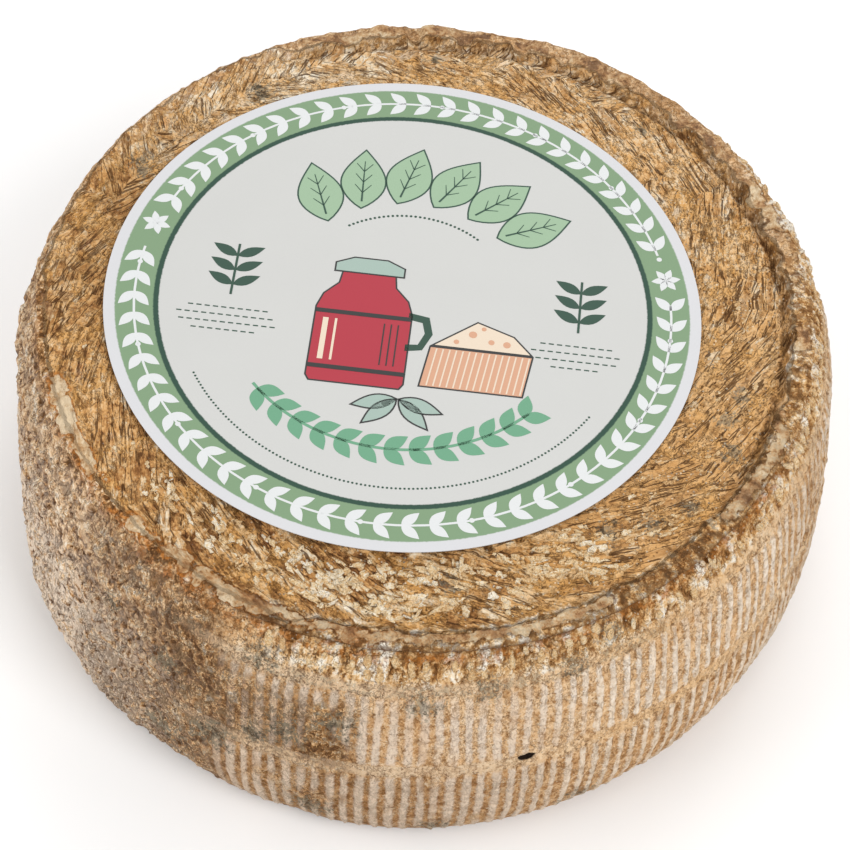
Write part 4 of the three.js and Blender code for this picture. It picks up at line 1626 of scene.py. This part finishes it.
@dataclass
class LabelArt:
    """A plain design printed on the label: leaves, sprigs, a milk can and a wedge of cheese.

    Places are millimetres from the label's centre, u to the right and v to the back.
    """

    place: LabelPlace
    film: float = 0.05
    outline: float = 0.5
    ring_share: float = 0.899
    rosettes: Pair = (14, 166)
    rosette_gap: float = 7.0
    ring_leaves: int = 64
    crown_radius: float = 37.0
    crown_dots: float = 32.5
    can_at: Pair = (-11.0, -8.0)
    wedge_at: Pair = (18.0, -17.0)
    rule_gap: float = 2.4
    garland_radius: float = 52.5
    foot_dots: float = 65.5

    def __post_init__(self) -> None:
        """Starts the mesh and its inks."""
        self.bm = bmesh.new()
        self.inks = list(Ink)

    def patch(
        self,
        outline: Iterable[Pair],
        ink: Ink,
        at: Pair = (0.0, 0.0),
        turn: float = 0.0,
        edge: Ink | None = None,
        layer: int = 0,
    ) -> None:
        """Prints one flat shape.

        Args:
            outline: its corners in order, in millimetres.
            ink: what fills it.
            at: where its own origin goes on the label.
            turn: degrees that it is turned by.
            edge: the ink of a line round it, if it has one.
            layer: how many films it lies over.
        """
        spin = Matrix.Rotation(math.radians(turn), 3, "Z")
        whole = Matrix.Rotation(math.radians(self.place.turn), 3, "Z")
        corners_of = []
        for u, v in outline:
            flat = whole @ (spin @ Vector((u, v, 0.0)) + Vector((*at, 0.0)))
            corners_of.append(self.bm.verts.new((flat.x, flat.y, self.film * (layer + 1))))
        face = self.bm.faces.new(corners_of)
        face.normal_update()
        if face.normal.z < 0:
            face.normal_flip()
        face.material_index = self.inks.index(ink)
        parts = [face]
        if edge:
            ring = bmesh.ops.inset_region(
                self.bm, faces=[face], thickness=self.outline, use_even_offset=True, use_boundary=True
            )
            for line in ring["faces"]:
                line.material_index = self.inks.index(edge)
            parts += ring["faces"]
        down = bmesh.ops.extrude_face_region(self.bm, geom=parts, use_keep_orig=True)
        fresh = [item for item in down["geom"] if isinstance(item, bmesh.types.BMFace)]
        sunk = {vert for item in fresh for vert in item.verts}
        bmesh.ops.translate(self.bm, verts=list(sunk), vec=(0, 0, -self.film * 1.5))
        bmesh.ops.reverse_faces(self.bm, faces=fresh)

    def ring_garland(self) -> None:
        """A white laurel all round the green ring, parted by a rosette at each side."""
        middle = self.ring_share * self.place.radius
        gap = self.rosette_gap
        for index in range(self.ring_leaves):
            angle = index * 360 / self.ring_leaves
            if min(apart(angle, side) for side in self.rosettes) < gap:
                continue
            for lean in (-1, 1):
                self.patch(leaf(6.6, 3.1), Ink.WHITE, polar(middle, angle), angle + 90 + lean * 42)
            if index % 4 == 0:
                self.patch(disc(0.8, 10), Ink.WHITE, polar(middle, angle - 2.6))
        right, left = self.rosettes
        for first, last in ((right + gap, left - gap), (left + gap, right + 360 - gap)):
            self.patch(arc_bar(middle, first, last, 0.7), Ink.WHITE)
        for side in self.rosettes:
            for petal in range(6):
                self.patch(leaf(4.4, 2.2, 6), Ink.WHITE, polar(middle, side), side + petal * 60)

    def crown_garland(self) -> None:
        """Large pale leaves in an arch over the middle, with a dotted line under them."""
        for index in range(6):
            angle = 91 + (index - 2.5) * 17
            at, turn = polar(self.crown_radius, angle), angle - 24
            self.patch(leaf(24.0, 14.0, 16), Ink.PALE_GREEN, at, turn, edge=Ink.DARK_GREEN)
            self.patch(wedge(3.0, 19.0, 0.3, 0.12), Ink.DARK_GREEN, at, turn, layer=1)
            for step in range(3):
                along = polar(6.5 + step * 4.2, turn)
                vein = at[0] + along[0], at[1] + along[1]
                for lean in (-38, 38):
                    self.patch(wedge(0.0, 4.0, 0.16, 0.1), Ink.DARK_GREEN, vein, turn + lean, layer=1)
        for index in range(31):
            self.patch(disc(0.42, 8), Ink.DARK_GREEN, polar(self.crown_dots, 90 + (index - 15) * 2.4))

    def milk_can(self) -> None:
        """A red milk can left of the middle, with its lid, handle and bands."""
        at = self.can_at
        handle = [(13.0, 4.0), (19.0, 3.0), (20.5, -3.0), (18.0, -9.0), (13.0, -10.0)]
        handle += [(13.0, -7.6), (16.6, -7.2), (18.2, -3.0), (17.2, 0.8), (13.0, 1.6)]
        self.patch(handle, Ink.DARK_GREEN, at)
        half = [(13.0, -24.0), (14.2, -22.0), (14.2, 3.0), (12.6, 8.0), (8.6, 12.5), (8.0, 17.0)]
        self.patch(half + [(-u, v) for u, v in reversed(half)], Ink.RED, at, edge=Ink.BLACK)
        lid = [(10.4, 16.4), (10.4, 20.0), (5.0, 22.6), (-5.0, 22.6), (-10.4, 20.0), (-10.4, 16.4)]
        self.patch(lid, Ink.SLATE_GREEN, at, edge=Ink.BLACK, layer=1)
        bands = [(27.4, 1.5, 0.0, v, Ink.BLACK) for v in (-18.5, 1.5)]
        bands += [(width, 15.0, u, -8.5, Ink.CREAM) for u, width in ((-10.6, 1.6), (-7.6, 0.7))]
        bands += [(0.4, 15.0, u, -8.5, Ink.BLACK) for u in (6.4, 8.4, 10.4)]
        for length, width, u, v, ink in bands:
            self.patch(bar(length, width), ink, (at[0] + u, at[1] + v), layer=1)

    def cheese_wedge(self) -> None:
        """A salmon wedge of cheese right of the middle, with fine lines on its rind."""
        at = self.wedge_at
        side = [(-11.0, -13.0), (19.0, -13.0), (21.0, 2.0), (-9.0, 2.0)]
        top = [(-9.0, 2.0), (21.0, 2.0), (15.0, 8.5), (4.0, 12.5)]
        self.patch(side, Ink.SALMON, at, edge=Ink.BLACK)
        self.patch(top, Ink.CREAM, at, edge=Ink.BLACK)
        for index in range(15):
            u = -8.8 + index * 1.9
            stripe = [(u, -12.2), (u + 0.45, -12.2), (u + 2.2, 1.2), (u + 1.75, 1.2)]
            self.patch(stripe, Ink.CREAM, at, layer=1)
        eyes = ((3.0, 7.6, 1.2), (8.5, 5.5, 0.9), (6.0, 10.0, 0.7), (13.0, 5.2, 1.1), (-1.5, 4.4, 0.8))
        for u, v, size in eyes:
            self.patch(disc(size, 12), Ink.SALMON, (at[0] + u, at[1] + v), layer=1)

    def sprigs(self) -> None:
        """A sprig at each side of the middle with plain rules under it, and leaves at its foot."""
        for u, rules in ((-50.0, (24.0, 30.0, 28.0, 20.0)), (51.0, (22.0, 27.0, 24.0, 15.0))):
            for row in range(3):
                for lean in (28, 152):
                    self.patch(leaf(8.6, 3.4, 7), Ink.DARK_GREEN, (u, 10.0 - row * 5.4), lean)
            self.patch(bar(0.7, 19.0), Ink.DARK_GREEN, (u, 5.0), layer=1)
            for row, length in enumerate(rules):
                for piece in range(round(length / self.rule_gap)):
                    along = (piece + 0.5) * self.rule_gap - length / 2
                    self.patch(bar(1.5, 0.42), Ink.DARK_GREEN, (u + along, -9.5 - row * 2.7))
        for turn in (196, 226, 314, 344):
            self.patch(leaf(14.0, 5.4), Ink.SLATE_GREEN, (2.0, -35.0), turn, edge=Ink.BLACK)

    def lower_garland(self) -> None:
        """Green leaf pairs along an arc under the middle, and a fine dotted line round them."""
        self.patch(arc_bar(self.garland_radius, 222, 318, 0.9), Ink.GREEN)
        for index in range(13):
            angle = 270 + (index - 6) * 7.6
            for lean in (52, -232):
                self.patch(leaf(8.0, 4.2), Ink.GREEN, polar(self.garland_radius, angle), angle + lean)
        for index in range(113):
            self.patch(disc(0.36, 6), Ink.DARK_GREEN, polar(self.foot_dots, 270 + (index - 56) * 1.05))

    def build(self) -> bpy.types.Object:
        """Prints every part of the design and returns the piece."""
        self.ring_garland()
        self.crown_garland()
        self.milk_can()
        self.cheese_wedge()
        self.sprigs()
        self.lower_garland()
        self.place.lay(self.bm)
        return make_object("label_print", to_mesh("label_print", self.bm), [ink.dress() for ink in self.inks])


@dataclass(frozen=True)
class Lamp:
    """One soft square lamp that faces the wheel, in metres and watts."""

    name: str
    spot: Triple
    side: float
    power: float

    def hang(self) -> None:
        """Adds the lamp to the scene."""
        light = bpy.data.lights.new(self.name, "AREA")
        light.size = self.side
        light.energy = self.power
        lamp = bpy.data.objects.new(self.name, light)
        lamp.location = self.spot
        lamp.rotation_euler = Vector(self.spot).to_track_quat("Z", "Y").to_euler()
        bpy.context.scene.collection.objects.link(lamp)


@dataclass
class Studio:
    """A pale floor, soft light from the front right, the left and the back, and the camera."""

    elevation: float = 55.0
    distance: float = 738.0
    aim_height: float = 43.05
    lens: float = 100.98
    shift: Pair = (0.01099, -0.01427)
    surround: float = 0.6
    floor_tone: str = "#FAFAFA"
    lamps: tuple[Lamp, ...] = (
        Lamp("key_light", (0.8, -0.95, 1.35), 0.8, 15.0),
        Lamp("fill_light", (-1.5, -0.3, 0.8), 1.2, 11.0),
        Lamp("back_light", (0.35, 1.2, 1.3), 1.2, 10.0),
    )

    def floor(self) -> bpy.types.Object:
        """A large pale floor under the wheel."""
        bm = bmesh.new()
        bmesh.ops.create_grid(bm, x_segments=1, y_segments=1, size=3.0)
        board = NodeBoard("studio_floor")
        shader = board.add("BsdfPrincipled", {"Base Color": self.floor_tone, "Roughness": 0.9})
        return make_object("studio_floor", to_mesh("studio_floor", bm), [board.finish(shader)])

    def camera(self) -> None:
        """Places the camera at the photographed angle."""
        lens = bpy.data.cameras.new("camera")
        lens.lens = self.lens
        lens.shift_x, lens.shift_y = self.shift
        lens.clip_start = 0.01
        camera = bpy.data.objects.new("camera", lens)
        rise = math.radians(self.elevation)
        away = Vector((0.0, -math.cos(rise), math.sin(rise))) * self.distance
        camera.location = (away + Vector((0.0, 0.0, self.aim_height))) * MM
        camera.rotation_euler = (math.pi / 2 - rise, 0.0, 0.0)
        bpy.context.scene.collection.objects.link(camera)
        bpy.context.scene.camera = camera

    def light(self) -> None:
        """Hangs the lamps and sets a white surround."""
        for lamp in self.lamps:
            lamp.hang()
        world = bpy.data.worlds.new("studio")
        world.use_nodes = True
        background = world.node_tree.nodes["Background"]
        background.inputs["Color"].default_value = (1.0, 1.0, 1.0, 1.0)
        background.inputs["Strength"].default_value = self.surround
        bpy.context.scene.world = world

    def build(self) -> None:
        """Sets up the whole studio."""
        self.floor()
        self.light()
        self.camera()
        bpy.context.scene.view_settings.view_transform = "Standard"


def surface(piece: bpy.types.Object) -> BVHTree:
    """The piece's surface in millimetres, for laying things on it."""
    mesh = piece.data
    points = [vert.co / MM for vert in mesh.vertices]
    return BVHTree.FromPolygons(points, [tuple(poly.vertices) for poly in mesh.polygons])


def settle_piece(piece: bpy.types.Object, slot: str, *nodes: str) -> None:
    """Lets a piece ride on the cheese and stand for the solids it replaces.

    Args:
        piece: the piece.
        slot: the record's material slot; not used.
        nodes: the solids that it replaces, if any.
    """
    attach(piece, "root")
    if nodes:
        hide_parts(*nodes)
    LOG.info("%s: %d faces", piece.name, len(piece.data.polygons))


def main() -> None:
    """Builds the cheese, its label and the studio."""
    logging.basicConfig(level=logging.INFO, format="%(name)s %(message)s")
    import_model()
    form, strokes = Form(), Strokes()
    rind = RindPainter(Rind(), form, strokes, "cheese_rind").dress()
    wheel = Wheel(form, strokes, Ripening()).build(rind)
    settle_piece(wheel, "rind", "wheel")
    ground = surface(wheel)
    crust = Crust().dress("cheese_crust")
    place = LabelPlace()
    flakes = TopFlakes("top_flakes", form, 11, strokes, place)
    crumbs = ShoulderCrumbs("shoulder_crumbs", form, 23)
    for bits in (flakes, crumbs):
        settle_piece(bits.scatter(ground, crust), "rind")
    settle_piece(Label(place, LabelPaper()).build(), "label_paper", "label")
    settle_piece(LabelArt(place).build(), "label_paper")
    Studio().build()


if __name__ == "__main__":
    main()
